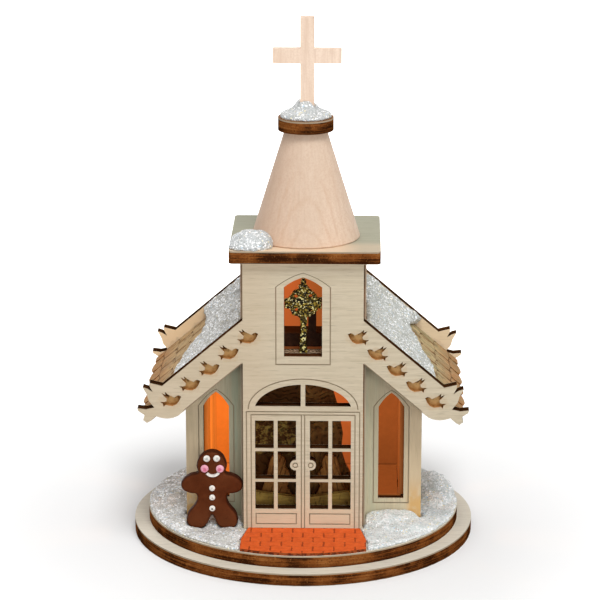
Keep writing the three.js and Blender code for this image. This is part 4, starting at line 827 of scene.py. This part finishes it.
def bark(look):
    """Layers of old bark above and upright strokes below, broken up unevenly."""
    sway = look.ramp(look.noise(0.13, detail=3.0), 0.25, 0.75, -1.8, 1.8)
    rows = look.swing(look.plus(look.z, sway), 0.75)
    strokes = look.swing(look.plus(look.x, sway), 0.8)
    high = look.ramp(look.z, 25, 29)
    lines = look.plus(look.times(rows, high), look.times(strokes, look.minus(1.0, high)))
    return look.times(look.ramp(lines, 0.42, 0.1), look.ramp(look.noise(0.7), 0.4, 0.6, 0.2, 1.0))


def folds(look):
    """Folds of cloth that fall from the shoulders."""
    sway = look.ramp(look.noise(0.16, (1, 1, 0.4), detail=2.0), 0.2, 0.8, -1.3, 1.3)
    fall = look.plus(look.plus(look.size(look.side), look.times(look.z, 0.3)), sway)
    lines = look.ramp(look.swing(fall, 0.8), 0.3, 0.08)
    return look.times(lines, look.ramp(look.noise(0.5, detail=2.0), 0.35, 0.55, 0.1, 0.8))


def grass(look):
    """Blades, and the lawn's dark foot."""
    blades = look.ramp(look.noise(0.9, (1, 1, 0.25), detail=4.0, rough=0.7), 0.56, 0.7)
    return look.most(blades, look.ramp(look.z, 8.6, 7.6, 0.0, 0.9))


dress(stained("backdrop_stain", (0.15, 0.063, 0.018), (0.32, 0.165, 0.045), 0.3, (1, 1, 1), bark,
              (0.46, 0.34, 0.085)), "nativity_backdrop")
dress(stained("figure_stain", (0.27, 0.105, 0.026), (0.44, 0.205, 0.055), 0.4, (1, 1, 1), folds),
      "nativity_figures")
dress(stained("olive_stain", (0.34, 0.19, 0.045), (0.54, 0.36, 0.085), 0.35, (0.5, 1, 2.5), grass),
      "nativity_ground")
# The stand behind the cross is near black
dress(stained("dark_stain", (0.03, 0.012, 0.007), (0.055, 0.024, 0.012), 0.6), "belfry_cross_stand")


def belfry_light(look):
    """The lamp's light in the belfry, stronger on the left."""
    return look.mix(look.ramp(look.side, -5, 5), (0.50, 0.112, 0.025), (0.36, 0.092, 0.019))


def card(name, tone, strength):
    """Paper that the lamp shines through."""
    look = Look(name, 0.8)
    light = tone(look)
    look.put("Base Color", look.vector("SCALE", light, scale=0.35))
    look.put("Emission Color", light)
    look.put("Emission Strength", strength)
    return look


dress(card("amber_card", lamplight, 0.9), "amber_liner")
dress(card("belfry_card", belfry_light, 0.85), "belfry_liner")


def holder_look():
    """Dark green plastic with fine ribs round it."""
    look = Look("holder_plastic", 0.35, Specular_IOR_Level=0.45)
    rib = look.ramp(look.swing(look.z, 0.6), 0.1, 0.3)
    grain = look.noise(1.5)
    look.put("Base Color", look.mix(look.ramp(grain, 0.3, 0.7), (0.018, 0.075, 0.027), (0.026, 0.098, 0.036)))
    look.put("Normal", look.bump(look.plus(rib, look.times(grain, 0.2)), 0.15, 0.7))
    return look


BULB_Z = 20.0


def bulb_look():
    """Bright yellow in the middle and orange away from it."""
    look = Look("lit_bulb", 0.15, Specular_IOR_Level=0.5)
    core = look.ramp(look.size(look.minus(look.z, BULB_Z)), 1.0, 6.0)
    tone = look.mix(core, (1.0, 0.86, 0.52), (1.0, 0.5, 0.14))
    look.put("Base Color", tone)
    look.put("Emission Color", tone)
    look.put("Emission Strength", 1.0)
    return look


dress(holder_look(), "bulb_holder")
dress(bulb_look(), "light_bulb")


# Light and floor
AIM = Vector((0, 0, 0.06))
WARM = (1.0, 0.5, 0.18)


def add_lamp(name, kind, place, power):
    lamp = bpy.data.objects.new(name, bpy.data.lights.new(name, kind))
    lamp.data.energy = power
    lamp.location = place
    bpy.context.scene.collection.objects.link(lamp)
    return lamp


def area(name, place, size, power):
    """A round lamp that points at the building."""
    lamp = add_lamp(name, "AREA", place, power)
    lamp.data.shape = "DISK"
    lamp.data.size = size
    lamp.rotation_euler = (AIM - Vector(place)).to_track_quat("-Z", "Y").to_euler()


def glow(name, place, radius, power):
    """A small warm lamp inside the building."""
    lamp = add_lamp(name, "POINT", place, power)
    lamp.data.shadow_soft_size = radius
    lamp.data.color = WARM


area("front_top", (0.2, -0.66, 1.32), 0.7, 11.6)
area("front", (0.22, -0.95, 0.2), 0.6, 2.6)
area("back_top", (-0.4, 0.7, 0.8), 0.8, 1.6)
glow("lamp_glow", (0.0004, 0.006, 0.0335), 0.003, 0.012)
glow("belfry_glow", (-0.0062, -0.004, 0.066), 0.002, 0.002)


def seen(tree):
    """1 where the camera, gloss or glass looks, and 0 for the light that reaches the object."""
    path = tree.nodes.new("ShaderNodeLightPath")
    last = path.outputs["Is Camera Ray"]
    for ray in ("Is Glossy Ray", "Is Transmission Ray"):
        node = tree.nodes.new("ShaderNodeMath")
        node.operation = "MAXIMUM"
        tree.links.new(last, node.inputs[0])
        tree.links.new(path.outputs[ray], node.inputs[1])
        last = node.outputs[0]
    return last


SKY_LIGHT = 0.45
FLOOR_RADIUS = 4.0


def studio():
    """White where it is seen, and a softer level of light on the object."""
    world = bpy.data.worlds.new("studio")
    world.use_nodes = True
    tree = world.node_tree
    level = tree.nodes.new("ShaderNodeMapRange")
    level.inputs["To Min"].default_value = SKY_LIGHT
    level.inputs["To Max"].default_value = 1.0
    tree.links.new(seen(tree), level.inputs["Value"])
    sky = tree.nodes["Background"]
    sky.inputs[0].default_value = (1, 1, 1, 1)
    tree.links.new(level.outputs[0], sky.inputs[1])
    bpy.context.scene.world = world


def lay_floor():
    """A pale floor that keeps the object's shadow and fades to white away from it."""
    mesh = bpy.data.meshes.new("floor")
    ring = bmesh.new()
    bmesh.ops.create_circle(ring, cap_ends=True, radius=FLOOR_RADIUS, segments=48)
    ring.to_mesh(mesh)
    ring.free()
    floor = bpy.data.objects.new("floor", mesh)
    bpy.context.scene.collection.objects.link(floor)
    look = Look("floor", 0.9)
    shown = seen(look.tree)
    look.put("Base Color", look.mix(shown, (0.55, 0.55, 0.55), (0.97, 0.97, 0.97)))
    away = look.ramp(look.vector("LENGTH", look.mm), 50, 240)
    look.put("Emission Color", (1, 1, 1))
    look.put("Emission Strength", look.times(shown, away))
    mesh.materials.append(look.mat)
    return floor


studio()
lay_floor()

bpy.context.scene.view_settings.view_transform = "Standard"
